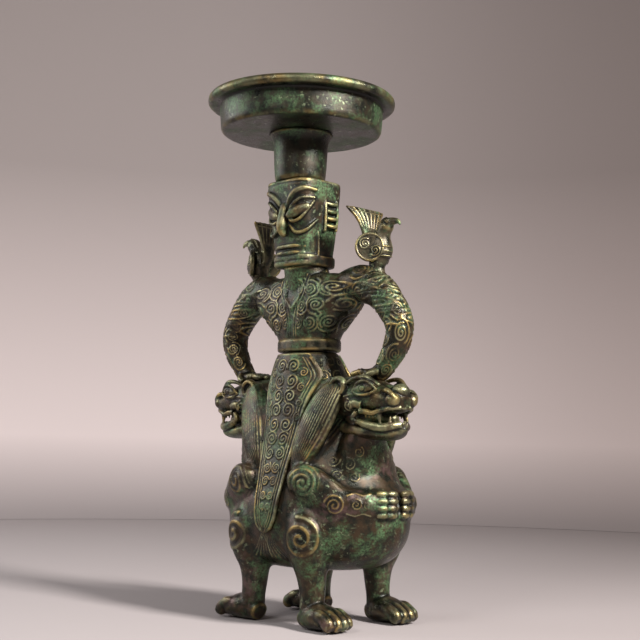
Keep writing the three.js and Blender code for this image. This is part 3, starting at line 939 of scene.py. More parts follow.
@dataclass
class Workshop:
    """Finishes pieces: metres, frame, finish and the body each rides on.

    Attributes:
        shift: what turns this script's y into the frame's, in millimetres.
        finishes: the materials made so far, by name.
    """

    shift: float
    finishes: dict[str, bpy.types.Material] = field(default_factory=dict)

    def finish(
        self,
        obj: bpy.types.Object,
        patina: Patina,
        body: Body,
        slot: str,
        nodes: Sequence[str],
    ) -> bpy.types.Object:
        """Places a finished piece in the frame.

        Args:
            obj: the piece, in millimetres.
            patina: its finish.
            body: what it rides on.
            slot: the record's material slot; not used.
            nodes: the CAD nodes it stands for.

        Returns:
            The piece.
        """
        note_relief_for_wear_and_shade(obj)
        points = points_of(obj)
        points[:, 1] += self.shift
        set_points(obj, points * MM)
        if patina.name not in self.finishes:
            self.finishes[patina.name] = patina.material()
        obj.data.materials.clear()
        obj.data.materials.append(self.finishes[patina.name])
        obj.data.shade_smooth()
        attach(obj, body.value)
        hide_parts(*nodes)
        log.info("%s: %d faces", obj.name, len(obj.data.polygons))
        return obj


@dataclass
class OilDish:
    """The dish, the stem under it and the pricket in its middle.

    Attributes:
        shop: where the pieces are finished.
        segments: facets round the axis.
    """

    shop: Workshop
    segments: int = 128

    def turn(self, name: str, profile: Sequence[tuple[float, float]]) -> bpy.types.Object:
        """Turns a closed profile about the dish's axis.

        Args:
            name: of the piece.
            profile: radius and height of each corner.

        Returns:
            The piece, in millimetres.
        """
        mesh = bmesh.new()
        verts = [mesh.verts.new((r, 0, z)) for r, z in profile]
        edges = [mesh.edges.new(pair) for pair in zip(verts, verts[1:])]
        bmesh.ops.spin(
            mesh,
            geom=verts + edges,
            axis=(0, 0, 1),
            cent=(0, 0, 0),
            steps=self.segments,
            angle=2 * math.pi,
        )
        bmesh.ops.remove_doubles(mesh, verts=mesh.verts[:], dist=0.001)
        bmesh.ops.recalc_face_normals(mesh, faces=mesh.faces[:])
        bmesh.ops.translate(mesh, verts=mesh.verts[:], vec=(0, DISH_Y, 0))
        data = bpy.data.meshes.new(name)
        mesh.to_mesh(data)
        mesh.free()
        obj = bpy.data.objects.new(name, data)
        bpy.context.scene.collection.objects.link(obj)
        return obj

    @staticmethod
    def softened(corners: Sequence[tuple[float, float]], spacing: float = 2.2) -> list:
        """Cuts a profile's corners round and divides its long sides.

        Args:
            corners: radius and height of each corner.
            spacing: longest step along it.

        Returns:
            The finer profile.
        """
        line = []
        for (r0, z0), (r1, z1) in zip(corners, corners[1:]):
            count = max(1, int(math.dist((r0, z0), (r1, z1)) / spacing))
            line += [(r0 + (r1 - r0) * i / count, z0 + (z1 - z0) * i / count) for i in range(count)]
        line.append(corners[-1])
        rows = np.array(line)
        inner = rows[1:-1]
        inner[:] = 0.5 * inner + 0.25 * (rows[:-2] + rows[2:])
        return [tuple(row) for row in rows]

    def build(self) -> None:
        """Builds and dresses the three pieces."""
        dish = [
            (7.4, 521.2),
            (84.6, 521.2),
            (86.4, 522),
            (87.2, 524.5),
            (88.2, 538),
            (89, 549.8),
            (99.8, 549.8),
            (101.7, 551.4),
            (101.7, 557.4),
            (99.6, 559.8),
            (87.4, 559.8),
            (85.4, 556.5),
            (84.6, 548),
            (82.4, 529),
            (78.5, 525.2),
            (7.4, 525.2),
            (7.4, 521.2),
        ]
        stem = [
            (0, 435.2),
            (14.8, 435.2),
            (14.8, 467.5),
            (26.2, 467.5),
            (27.2, 470.5),
            (28.4, 484),
            (29, 498),
            (29.6, 510),
            (31.6, 515.5),
            (35.6, 520.5),
            (7, 520.6),
            (7, 533.6),
            (0, 533.8),
        ]
        pricket = [
            (7.4, 525.5),
            (11.8, 525.5),
            (11.6, 528.6),
            (8.8, 536.5),
            (3, 544.5),
            (0.9, 551.8),
            (0, 552.2),
        ]
        for name, profile, patina, slot in (
            ("oil_dish_form", dish, DISH_BRONZE, "patinated_bronze"),
            ("dish_stem_form", stem, DISH_BRONZE, "dark_bronze"),
            (
                "wick_pricket_form",
                pricket + [(0, 534.4), (7.4, 534.4), (7.4, 525.5)],
                DISH_BRONZE,
                "dark_bronze",
            ),
        ):
            obj = self.turn(name, self.softened(profile))
            self.shop.finish(obj, patina, Body.DISH, slot, [name.removesuffix("_form")])


def paired(lines: Iterable[Line]) -> list[Line]:
    """Lines with their mirror images across the map's middle.

    Args:
        lines: flat lines on one side.

    Returns:
        Both sides.
    """
    kept = list(lines)
    return kept + [line * np.array([-1, 1]) for line in kept]


@dataclass
class Figure:
    """The robed figure: head, chest with arms, belt and the robe's panels.

    Attributes:
        shop: where the pieces are finished.
    """

    shop: Workshop

    def head(self) -> None:
        """Builds the mask-like head."""
        wax = Wax()
        upper_lid = [
            (5, -58.5, 427, 1.2, 1.4),
            (14, -62, 437.5, 1.7, 1.8),
            (25, -58.5, 445, 1.7, 1.8),
            (33, -46, 446, 1.1, 1.2),
        ]
        wax.limb(upper_lid, 12)
        lower_lid = [
            (5, -58.5, 427, 1.2, 1.4),
            (13, -60.5, 421, 1.7, 1.8),
            (24, -57.5, 424.5, 1.7, 1.8),
            (33, -46.5, 443, 1.1, 1.2),
        ]
        wax.limb(lower_lid, 12)
        wax.ball((18.5, -57.6, 432), (14.5, 4.6, 6.2), (0, -24, 24))
        brow = [
            (2.5, -58, 436, 3.2, 2.4),
            (13, -60.5, 449, 3.6, 3.2),
            (26, -57.5, 455.5, 3.4, 3.2),
            (34, -44, 454, 1.6, 1.6),
        ]
        wax.limb(brow, 14)
        cheek_fold = [
            (7, -58, 418, 1.2, 1.4),
            (16, -57.6, 409.5, 1.9, 2),
            (26, -52.5, 411, 1.9, 2.2),
            (32.4, -40, 424, 1.1, 1.2),
        ]
        wax.limb(cheek_fold, 12)
        wax.limb(
            [(28.3, -36, 411, 1.4, 1.6), (27.8, -34.5, 400, 1.4, 1.6), (27, -34, 386, 1.4, 1.6)], 10
        )
        for i in range(4):
            z = 418 + i * 8
            ear_rib = [
                (31.4, -27, z + 1, 1.9, 2.4), (33.4, -20, z, 2, 2.4), (32.2, -13, z + 1.2, 1.8, 2.2)
            ]
            wax.limb(ear_rib, 12, 12)
        ear_front = [
            (30.6, -28.6, 448, 1.9, 1.9), (32.4, -29, 432, 1.7, 1.9), (31, -28.6, 412, 1.8, 1.8)
        ]
        wax.limb(ear_front, 12, 12)
        ear_back = [(31, -12, 447, 1.8, 1.8), (32.4, -11.4, 432, 1.6, 1.8), (31, -12, 414, 1.8, 1.8)]
        wax.limb(ear_back, 12, 12)
        wax.mirrored("X")
        wax.upright(HEAD_SECTIONS, 72, 44, 4.4)
        nose = [
            (0, -50, 447, 4, 5),
            (0, -58, 439, 4.2, 4.6),
            (0, -61, 428, 4.8, 5.4),
            (0, -61.6, 418, 6.8, 5.4),
            (0, -59.8, 412.6, 7.4, 4),
            (0, -56, 410.6, 6, 2.6),
        ]
        wax.limb(nose, 20, 28, (1, 0, 0), 2.6)
        for z, half, out in ((395.6, 23, 55.4), (388.6, 22, 55)):
            lip = [
                (-half, -48.6, z - 1, 1.5, 1.8),
                (-12, -out + 1, z, 2, 2),
                (0, -out + 0.3, z, 2.3, 2.2),
                (12, -out + 1, z, 2, 2),
                (half, -48.6, z - 1, 1.5, 1.8),
            ]
            wax.limb(lip, 12, 24)
        obj = wax.cast("figure_head_form", 0.75, 3)
        front = facing((0, -58, 425), (0, -1, 0), 60, False)
        lines = paired(
            [
                stroke((3, 380 - 425), (25, 380.5 - 425)),
                stroke((-29, 462 - 425), (0, 463 - 425), (29, 462 - 425)),
            ]
        )
        emboss(obj, [Relief(front, lines, 0.9, -0.5)])
        self.shop.finish(obj, HEAD_BRONZE, Body.BASE, "patinated_bronze", ["figure_head"])

    @staticmethod
    def arm_map(side: int) -> Unroll:
        """The flat map of an arm: how far along it, and round it.

        Args:
            side: 1 for the figure's left arm, -1 for its right.

        Returns:
            The map.
        """
        path = smooth_path([row[:3] for row in ARM_STATIONS], 120)
        path[:, 0] *= side
        steps = np.linalg.norm(np.diff(path, axis=0), axis=1)
        along = np.concatenate([[0], np.cumsum(steps)])
        ways = np.gradient(path, axis=0)
        ways /= np.linalg.norm(ways, axis=1, keepdims=True)

        def unroll(points: np.ndarray, _normals: np.ndarray) -> tuple[np.ndarray, np.ndarray]:
            share = ramp(points[:, 0] * side, 56, 62)
            near = np.full(len(points), 0)
            chosen = np.nonzero(share > 0)[0]
            for start in range(0, len(chosen), 8000):
                some = chosen[start : start + 8000]
                gaps = np.linalg.norm(points[some, None] - path[None], axis=2)
                near[some] = gaps.argmin(1)
            away = points - path[near]
            outward = np.stack(
                [ways[near][:, 2], np.zeros(len(points)), -ways[near][:, 0]], 1
            ) * -side
            angle = np.arctan2(-away[:, 1], (away * outward).sum(1))
            flat = np.stack([along[near] + (away * ways[near]).sum(1), angle * 15], 1)
            return flat, share

        return unroll

    def chest(self) -> None:
        """Builds the chest, shoulders, arms and hands."""
        wax = Wax().limb(ARM_STATIONS, 32, 56)
        for i in range(4):
            y = -14 + (i - 1.5) * 6.6
            reach = 68 if i in (0, 3) else 64
            finger = [
                (96, y * 0.9 - 1.4, 259.6, 4.2, 4),
                (84, y, 260.6, 3.7, 3.6),
                (reach + 5, y, 259.2, 3.5, 3.5),
                (reach + 1, y, 258, 2.4, 2.6),
            ]
            wax.limb(finger, 14, 18)
        palm = [
            (106, -14, 262, 6, 8),
            (97, -14, 260, 6, 12.5),
            (86, -14, 259, 5.5, 13),
            (80, -14, 259.2, 3.4, 12),
        ]
        wax.limb(palm, 24, 16)
        wax.limb(
            [(104, -22, 262, 4, 4), (98, -29.5, 258, 3.4, 3.6), (90, -31.5, 254.5, 2.8, 3)], 14, 14
        )
        wax.mirrored("X")
        wax.upright(TORSO_SECTIONS, 72, 44, 2.4)
        wax.limb([(0, -18, 336, 25, 25), (0, -20, 356, 25, 25), (0, -27, 381, 23.5, 23.5)], 36, 16)
        for side in (-1, 1):
            collar_edge = [
                (side * 25, -17, 371, 2, 2.6),
                (side * 23, -33, 361, 2.2, 2.8),
                (side * 13, -42, 345, 2.2, 2.6),
                (0, -45.4, 329, 2.2, 2),
            ]
            wax.limb(collar_edge, 14, 24)
        obj = wax.cast("figure_chest_and_arms", 1.15, 7)
        scrolls, dots = [], []
        for row, z in enumerate((314, 332, 350)):
            for k in range(7):
                u = 14 + k * 17.5 + (row % 2) * 6
                hand = Hand.COUNTER if (k + row) % 2 else Hand.CLOCKWISE
                scrolls.append(spiral((u, z), 7.2, 2.0, 90 + 70 * k, hand))
                scrolls.append(spiral((u, z), 9.9, 0.5, 200 + 70 * k, hand, 0.94))
                dots.append(stroke((u + 7.4, z + 2), (u + 10.5, z + 8), (u + 8, z + 12)))
        edge = [stroke((5, 299), (5.4, 316), (11, 334), (20, 350), (27, 366))]
        seam = [stroke((9.4, 299), (9.8, 314), (15.5, 332), (25, 349), (31, 364))]
        body = around(TORSO_Y, MAP_RADIUS, band((299, 301), (366, 370)))
        chest_only = around(TORSO_Y, MAP_RADIUS, band((300, 303), (360, 364), (11, 13)))
        reliefs = [
            Relief(chest_only, paired(scrolls), 0.95, 1.05, 0.0),
            Relief(chest_only, paired(dots), 0.9, 0.9, 0.0),
            Relief(body, paired(edge + seam), 0.9, 0.8, 0.0),
        ]
        for side in (-1, 1):
            lines = []
            for k in range(7):
                hand = Hand.COUNTER if k % 2 else Hand.CLOCKWISE
                for turn_at, offset in ((-32, 9), (-11, 0), (11, 9), (32, 0)):
                    centre = (24 + k * 19 + offset, turn_at)
                    lines.append(spiral(centre, 7.4, 2.1, 50 * k, hand))
                    lines.append(spiral(centre, 10.2, 0.46, 120 + 50 * k, hand, 0.94))
            cuff = stroke((176, -47), (169, -20), (180, 0), (169, 20), (176, 47))
            arm = self.arm_map(side)
            reliefs.append(Relief(self.above_cuff(arm), lines, 0.95, 0.85))
            reliefs.append(Relief(arm, [cuff], 0.9, 0.9, 1.6))
        emboss(obj, reliefs)
        nodes = ["figure_torso", "left_arm", "right_arm"]
        self.shop.finish(obj, ROBE_BRONZE, Body.BASE, "patinated_bronze", nodes)

    @staticmethod
    def above_cuff(arm: Unroll) -> Unroll:
        """Keeps a map of an arm to its sleeve.

        Args:
            arm: the whole arm's map.

        Returns:
            The shorter map.
        """

        def unroll(points: np.ndarray, normals: np.ndarray) -> tuple[np.ndarray, np.ndarray]:
            flat, share = arm(points, normals)
            return flat, share * (1 - ramp(flat[:, 0], 160, 166))

        return unroll

    def belt(self) -> None:
        """Builds the plain belt."""
        rows = [
            (284.4, 37, 26.4, TORSO_Y),
            (286, 39.2, 28.4, TORSO_Y),
            (291, 39.4, 28.6, TORSO_Y),
            (296, 39.2, 28.4, TORSO_Y),
            (298, 37, 26.4, TORSO_Y),
        ]
        wax = Wax().upright(rows, 96, 20)
        obj = wax.cast("waist_belt_form", 0.9, 3)
        self.shop.finish(obj, BIRD_BRONZE, Body.BASE, "worn_bronze", ["waist_belt"])

    def panel(self, side: int, name: str) -> None:
        """Builds one of the robe's hanging panels.

        Args:
            side: -1 at the front, 1 at the back.
            name: of the CAD node.
        """
        rows = smooth_path(PANEL_OUTLINE, 64)
        levels = np.array(TRUNK_SECTIONS, float)
        mesh = bmesh.new()
        columns = 33
        grid = []
        for z, half in rows:
            half = max(half, 0.4)
            a, b, cy = (np.interp(z, levels[:, 0], levels[:, k]) for k in (1, 2, 3))
            line = []
            for x in np.linspace(-half, half, columns):
                y = cy + side * (b + 0.35) * math.sqrt(max(0.02, 1 - (x / (a + 0.35)) ** 2))
                line.append(mesh.verts.new((x, y, min(z, 281.6))))
            grid.append(line)
        for low, high in zip(grid, grid[1:]):
            for i in range(columns - 1):
                mesh.faces.new((low[i], low[i + 1], high[i + 1], high[i]))
        bmesh.ops.recalc_face_normals(mesh, faces=mesh.faces[:])
        if mesh.faces[0].normal.y * side < 0:
            bmesh.ops.reverse_faces(mesh, faces=mesh.faces[:])
        bmesh.ops.solidify(mesh, geom=mesh.faces[:], thickness=-2.5)
        wax = Wax(mesh)
        obj = wax.cast(f"{name}_form", 0.85, 2)
        outline = [np.array([(half, z) for z, half in rows if z < 278])]
        inside = outline[0] - np.array([5.6, 0])
        inside = inside[inside[:, 0] > 1]
        inner2 = outline[0] - np.array([8.6, 0])
        inner2 = inner2[inner2[:, 0] > 1]
        scrolls = []
        for k, z in enumerate((268, 252, 236, 221, 206, 191, 176, 161, 147, 133, 121)):
            half = float(np.interp(-z, [-row[0] for row in rows], [row[1] for row in rows]))
            reach = min(8.2, (half - 9) * 0.5)
            hand = Hand.COUNTER if k % 2 else Hand.CLOCKWISE
            scrolls.append(spiral((reach + 0.6, z), reach, 1.9, 200 + 40 * k, hand))
            if half > 27:
                scrolls.append(spiral((reach * 2 + 5.5, z - 7), 4.6, 1.6, 100, hand))
        flat = self.flat_panel(side)
        reliefs = [
            Relief(flat, paired([outline[0] - np.array([1.3, 0])]), 1.5, 0.9),
            Relief(flat, paired([inside, inner2]), 0.85, 0.8),
            Relief(flat, paired(scrolls), 0.95, 0.9),
        ]
        emboss(obj, reliefs)
        self.shop.finish(obj, ROBE_BRONZE, Body.BASE, "worn_bronze", [name])

    @staticmethod
    def flat_panel(side: int) -> Unroll:
        """A map seen from the front or the back.

        Args:
            side: -1 for the front, 1 for the back.

        Returns:
            The map: u is x and v is the height.
        """

        def unroll(points: np.ndarray, normals: np.ndarray) -> tuple[np.ndarray, np.ndarray]:
            return points[:, [0, 2]], ramp(normals[:, 1] * side, 0.1, 0.3)

        return unroll

    def build(self) -> None:
        """Builds all of the figure."""
        self.head()
        self.chest()
        self.belt()
        self.panel(-1, "robe_front_panel")
        self.panel(1, "robe_back_panel")


@dataclass
class Bird:
    """A bird on a shoulder, facing outward.

    Attributes:
        shop: where it is finished.
        side: 1 on the figure's left shoulder, -1 on its right.
        foot: where it stands on the left shoulder.
    """

    shop: Workshop
    side: int
    foot: tuple[float, float, float] = (87, -10, 367)

    def at(self, *rows: Sequence[float]) -> list[tuple[float, ...]]:
        """Rows measured from the bird's foot, set in the frame.

        Args:
            rows: x, y, z and then sizes.

        Returns:
            The same rows from the ground's origin.
        """
        x0, y0, z0 = self.foot
        return [(x0 + x, y0 + y, z0 + z, *rest) for x, y, z, *rest in rows]

    def build(self) -> None:
        """Builds and dresses the bird."""
        wax = Wax()
        body = self.at(
            (3, 0, -4, 9, 9),
            (3, 0, 4, 8.4, 8.4),
            (5, 0, 12, 11, 10.4),
            (6.5, 0, 20, 13.6, 12),
            (8, 0, 30, 11.4, 10.4),
            (12, 0, 39, 7.6, 7.6),
            (16, 0, 46, 8, 7.6),
            (20.5, 0, 51, 5.2, 5),
        )
        wax.limb(body, 28, 36)
        beak = self.at(
            (18, 0, 48.6, 5.4, 4.8),
            (25, 0, 49.4, 4, 3.4),
            (31, 0, 48.6, 2.6, 2.2),
            (34.4, 0, 45, 1.1, 1),
        )
        wax.limb(beak, 18, 20)
        for way in (-1, 1):
            wax.disc(self.at((4, way * 12.6, 23))[0], 15.4, 3.8, -way * 40)
            wax.ball(self.at((20.5, way * 5.6, 49.6))[0], (2.5, 1.5, 2.5))
        for z in (13.5, 18.5, 23.5):
            wax.ball(self.at((14.6, 0, z))[0], (6.6, 8.2, 1.3))
        tail = self.at(
            (-4, 0, 20, 4, 6),
            (-8, 0, 31, 3.6, 7.5),
            (-9, 0, 40, 3.1, 10),
            (-10, 0, 49, 2.8, 14),
            (-11.5, 0, 57, 2.7, 19.5),
            (-14, 0, 63, 2.6, 25.5),
            (-16, 0, 66.4, 2, 28),
        )
        wax.limb(tail, 32, 30, (0, 1, 0), 2.8)
        if self.side < 0:
            bmesh.ops.transform(
                wax.mesh, matrix=Matrix.Diagonal((-1, 1, 1, 1)), verts=wax.mesh.verts[:]
            )
        obj = wax.cast(f"{'left' if self.side > 0 else 'right'}_bird_form", 0.62, 3)
        reliefs = []
        for way in (-1, 1):
            x, y, z = self.at((4, way * 12.6, 23))[0]
            lean = math.radians(40)
            out = (self.side * math.sin(lean), math.cos(lean) * way, 0)
            wing = facing((x * self.side, y, z), out, 17, False)
            lines = [
                spiral((-5.2, 3), 6, 1.9, 60, Hand.COUNTER),
                spiral((5.6, -3.6), 5.8, 1.9, 240, Hand.COUNTER),
                spiral((0, 0), 13.8, 0.98, 0, Hand.COUNTER, 1.0),
            ]
            reliefs.append(Relief(wing, lines, 0.8, 0.8))
        x, y, z = self.at((-13, 0, 54))[0]
        for face in (-1, 1):
            fan = facing((x * self.side, y, z), (face * self.side, 0, 0.1), 32, False)
            lines = paired(
                [stroke((2 + k * 3.4, -9), (3 + k * 5.2, 2), (5 + k * 7.4, 12)) for k in range(4)]
            )
            lines.append(stroke((-24, 8.6), (0, 8), (24, 8.6)))
            reliefs.append(Relief(fan, lines, 0.8, 0.7))
        emboss(obj, reliefs)
        node = "left_bird" if self.side > 0 else "right_bird"
        self.shop.finish(obj, BIRD_BRONZE, Body.BASE, "worn_bronze", [node])


def on_breast(degrees: float, z: float, lift: float, out: float, half: float) -> tuple[float, ...]:
    """A station on the beast's breast.

    Args:
        degrees: from the beast's front towards the figure's front.
        z: height.
        lift: distance out from the breast.
        out: half size outward.
        half: half size upward.

    Returns:
        The station.
    """
    angle = math.radians(degrees)
    return ((113 + lift) * math.cos(angle), -(74 + lift) * math.sin(angle), z, out, half)


@dataclass
class Beast:
    """One of the two crouching beasts, with half of the robe's skirt.

    Attributes:
        shop: where it is finished.
        side: 1 on the figure's left, -1 on its right.
    """

    shop: Workshop
    side: int

    @property
    def word(self) -> str:
        """The side's name."""
        return "left" if self.side > 0 else "right"

    def turned(self, wax: Wax) -> Wax:
        """Puts a form on this beast's side.

        Args:
            wax: modelled on the figure's left.

        Returns:
            The same wax.
        """
        if self.side < 0:
            flip = Matrix.Diagonal((-1, 1, 1, 1))
            bmesh.ops.transform(wax.mesh, matrix=flip, verts=wax.mesh.verts[:])
        return wax

    @staticmethod
    def bulk(wax: Wax) -> None:
        """Models a standing leg and the upper foreleg at the figure's front left.

        Args:
            wax: what they are added to.
        """
        wax.limb(LEG_STATIONS, 32, 40)
        rows = [
            (76, 152, 6, 5),
            (70, 150, 14, 9),
            (62, 147, 17, 10),
            (53, 139, 15.5, 9),
            (45, 130, 14.5, 9),
            (36, 126.5, 13.5, 8.6),
            (26, 126, 13, 8.4),
            (17, 127, 13, 7.6),
            (5, 127, 12.5, 5),
        ]
        wax.limb([on_breast(a, z, -1, t, h + 1) for a, z, h, t in rows], 32, 44, (0, 0, 1))
        wax.limb(MANE_STATIONS, 36, 40, MANE_FACING, 2.4)

    @staticmethod
    def toes(wax: Wax) -> None:
        """Models a foot and a paw's toes at the figure's front left.

        Args:
            wax: what they are added to.
        """
        foot = [
            (33, -50, 9, 9, 10),
            (46, -50, 13, 13.4, 15),
            (58, -50, 14, 13.4, 17.4),
            (70, -50, 11.6, 11, 17.4),
            (78, -50, 8, 7.4, 14),
        ]
        wax.limb(foot, 28, 24)
        for row in (-1.5, -0.5, 0.5, 1.5):
            y = -50 + row * 9
            x = 82 - abs(row) * 2.6
            toe = [
                (x - 22, y * 0.6 - 20, 15, 6, 6),
                (x - 10, y, 17.4, 5.6, 5),
                (x - 3, y, 14.2, 6.2, 5.2),
                (x + 3, y, 8.4, 7.6, 5.4),
                (x + 7, y, 5, 4.4, 4.2),
            ]
            wax.limb(toe, 16, 24)
            z = 127 + row * 7.1
            drop = 4.4 - row * row * 0.5
            steps = [
                (20, 3.0),
                (16.5, 4.2),
                (13.5, 4.3),
                (11.5, 3.1),
                (9, 4.2),
                (6, 4.3),
                (4.2, 3.4),
                (2.6, 2.6),
            ]
            wax.limb([on_breast(a, z, drop, r, r * 0.84) for a, r in steps], 16, 36, (0, 0, 1))

    def body(self) -> None:
        """Builds the body, neck, legs and this half of the skirt."""
        core = Wax()
        self.bulk(core)
        core.mirrored("Y")
        neck = [
            (88, BEAST_Y, 208, 12, 19),
            (79, BEAST_Y + 2, 192, 17, 27),
            (73, BEAST_Y + 7, 172, 22, 36),
            (68, 0, 148, 26, 42),
        ]
        core.limb(neck, 36, 24)
        core.upright(TRUNK_SECTIONS, 96, 70)
        wax = Wax()
        self.toes(wax)
        wax.mirrored("Y")
        wax.blended(core)
        self.turned(wax)
        bmesh.ops.bisect_plane(
            wax.mesh,
            geom=wax.everything,
            plane_co=(-2.5 * self.side, 0, 0),
            plane_no=(-self.side, 0, 0),
            clear_outer=True,
        )
        open_edges = [e for e in wax.mesh.edges if e.is_boundary]
        bmesh.ops.holes_fill(wax.mesh, edges=open_edges, sides=0)
        obj = wax.cast(f"{self.word}_beast_form", 1.32, 3)
        emboss(obj, self.body_relief())
        points = points_of(obj)
        points[:, 2] = np.maximum(points[:, 2], 0.1)
        set_points(obj, points)
        nodes = [f"{self.word}_beast_body"]
        nodes += [
            f"{self.word}_{end}_{limb}" for end in ("front", "back") for limb in ("leg", "foreleg")
        ]
        if self.side > 0:
            nodes.append("robe_skirt")
        self.shop.finish(obj, BEAST_BRONZE, Body.BASE, "patinated_bronze", nodes)

    def body_relief(self) -> list[Relief]:
        """The scrolls, mane lines and marks of a beast's body.

        Returns:
            All of its relief.
        """
        turn = Hand.CLOCKWISE
        shoulder = facing((52, -76, 147), (0.45, -0.9, 0.1), 19)
        haunch = facing((54, -80, 91), (0.6, -0.8, -0.1), 24)
        elbow = facing((84, -58, 126), (0.7, -0.7, 0), 15)
        fore = facing((100, -42, 127), (0.8, -0.6, 0), 17)
        breast = facing((92, -48, 168), (0.8, -0.55, 0.25), 26)
        mane = facing((46, -52, 208), MANE_FACING, 56)
        middle = ((18, 41), (13.7, 30), (5.2, 10), (-3.7, -14), (-11.6, -34), (-15.8, -48))
        broad = (0.5, 0.8, 1, 0.95, 0.7, 0.35)
        hairs = [
            stroke(*((u + k * w, v) for (u, v), w in zip(middle, broad)))
            for k in np.arange(-16.5, 17, 3.3)
        ]
        skirt = around(TORSO_Y, MAP_RADIUS, band((243, 247), (280, 282), (38, 40)))
        scrolls = []
        for k in range(6):
            scrolls.append(spiral((48 + k * 14, 258), 5.8, 1.8, 60 * k, Hand.COUNTER))
            scrolls.append(spiral((44 + k * 12, 273), 4.8, 1.6, 60 * k, turn))
        fan = Figure.flat_panel(-1)
        fan_back = Figure.flat_panel(1)
        rays = [stroke((k * 0.9, 96), (k * 3.2, 82), (k * 6.2, 70)) for k in range(6)]
        return [
            Relief(shoulder, [spiral((0, 0), 16.5, 2.4, 200, turn)], 1.5, 1.1),
            Relief(shoulder, [spiral((0, 0), 19.5, 0.7, 230, turn, 0.95)], 1.0, 0.8),
            Relief(haunch, [spiral((0, 0), 21, 2.0, 100, turn)], 2.6, 1.4),
            Relief(elbow, [spiral((-2, 0), 10.5, 2.1, 160, turn)], 1.15, 0.8),
            Relief(
                fore,
                [
                    stroke((-12, 9), (-4, 11), (4, 9), (12, 11)),
                    stroke((-12, -9), (-4, -11), (4, -9), (12, -11)),
                    spiral((-3, 0), 5.6, 1.6, 90, turn),
                    spiral((8, 0), 4.6, 1.6, 90, turn),
                ],
                0.9,
                0.7,
            ),
            Relief(
                breast,
                [
                    spiral((-12, 8), 6.4, 1.6, 0, turn),
                    spiral((3, 2), 6, 1.6, 120, turn),
                    spiral((-8, -8), 6, 1.6, 240, turn),
                    spiral((12, 14), 5.4, 1.6, 60, turn),
                    spiral((8, -10), 5.4, 1.6, 30, turn),
                ],
                0.9,
                0.7,
            ),
            Relief(mane, hairs, 0.95, 0.95),
            Relief(skirt, paired(scrolls), 0.9, 0.75),
            Relief(Beast.low_front(fan), paired(rays), 0.8, 0.7),
            Relief(Beast.low_front(fan_back), paired(rays), 0.8, 0.7),
        ]

    @staticmethod
    def low_front(flat: Unroll) -> Unroll:
        """Keeps a flat map to the place under a panel's tip.

        Args:
            flat: the whole front's or back's map.

        Returns:
            The smaller map.
        """

        def unroll(points: np.ndarray, normals: np.ndarray) -> tuple[np.ndarray, np.ndarray]:
            uv, share = flat(points, normals)
            return uv, share * (1 - ramp(uv[:, 1], 93, 95)) * (1 - ramp(np.abs(points[:, 0]), 26, 29))

        return unroll

    def head(self) -> None:
        """Builds the head with its jaw, ears, eyes and teeth."""
        wax = Wax()
        for way in (-1, 1):
            mid = BEAST_Y

            def beside(*rows: Sequence[float]) -> list[tuple[float, ...]]:
                """Rows with y measured out from the head's middle."""
                return [(x, mid + way * y, z, *rest) for x, y, z, *rest in rows]

            wax.ball(beside((102, 25.4, 243))[0], (12.5, 4.4, 5.2), (0, -8, way * -7))
            upper_lid = beside(
                (88, 26.6, 240, 1.3, 1.5),
                (97, 28.6, 248.6, 1.6, 1.9),
                (108, 27.4, 249.6, 1.6, 1.9),
                (118, 23.5, 241.5, 1.1, 1.3),
            )
            wax.limb(upper_lid, 12)
            lower_lid = beside(
                (88, 26.6, 240, 1.3, 1.5),
                (98, 27.8, 236.6, 1.4, 1.8),
                (109, 26.8, 237, 1.4, 1.8),
                (118, 23.5, 241.5, 1.1, 1.3),
            )
            wax.limb(lower_lid, 12)
            brow = beside(
                (80, 26, 249, 1.4, 2.4),
                (91, 26.4, 253.4, 2.2, 3.2),
                (106, 24.6, 253.6, 2.4, 3.2),
                (119, 20, 246, 1.6, 2.4),
            )
            wax.limb(brow, 14)
            curl = []
            for t in np.linspace(0, 1, 13):
                angle = -2.2 - t * 1.25 * 2 * math.pi
                radius = 11 * (1 - 0.62 * t)
                size = 2.9 if 0 < t < 1 else 1.6
                curl.append(
                    (
                        69 + radius * math.cos(angle),
                        27,
                        244.6 + radius * math.sin(angle),
                        size,
                        size + 1.2,
                    )
                )
            wax.limb(beside(*curl), 14, 60)
            wax.ball(beside((69, 24, 244.6))[0], (10, 3.6, 10))
            lip = beside(
                (96, 25, 220, 2.6, 2.6),
                (104, 24.6, 219.6, 3, 2.8),
                (112, 23.4, 218, 2.6, 2.8),
                (120, 21.4, 220.4, 2.4, 2.8),
                (130, 15.5, 223, 2.4, 2.6),
                (135, 6, 224, 2.2, 2.2),
            )
            wax.limb(lip, 14)
            jaw_lip = beside(
                (93, 23.4, 210.4, 3, 3.4),
                (104, 22, 206.6, 4.2, 3.6),
                (118, 18, 204, 4.4, 3.6),
                (128, 12, 205.4, 4.2, 3.4),
                (133, 3, 207.4, 4, 3),
            )
            wax.limb(jaw_lip, 16)
            mouth_corner = beside(
                (94, 24.4, 208.8, 2.6, 2.6), (88.6, 26, 213.4, 2.6, 2.8), (93, 25.6, 219.6, 2.6, 2.6)
            )
            wax.limb(mouth_corner, 14)
            cheek_lobe = beside(
                (84, 25.8, 224, 3.4, 2.4), (90, 26.6, 228, 4.4, 3), (99, 25.6, 226, 4, 2.8)
            )
            wax.limb(cheek_lobe, 14)
            upper_fang = beside(
                (118, 19.6, 222, 3.6, 3.4), (118.6, 19.6, 215, 2.6, 2.4), (119.4, 19.2, 208.4, 1, 1)
            )
            wax.limb(upper_fang, 14, 14)
            lower_fang = beside(
                (126, 13, 204, 2.6, 2.4), (126.8, 13, 210, 1.9, 1.8), (127.2, 12.6, 215.4, 0.8, 0.8)
            )
            wax.limb(lower_fang, 14, 14)
            for k in range(3):
                x = 102 + k * 5
                wax.limb(beside((x, 21.5, 221, 1.9, 1.6), (x, 21.3, 213.6, 0.7, 0.7)), 10, 6)
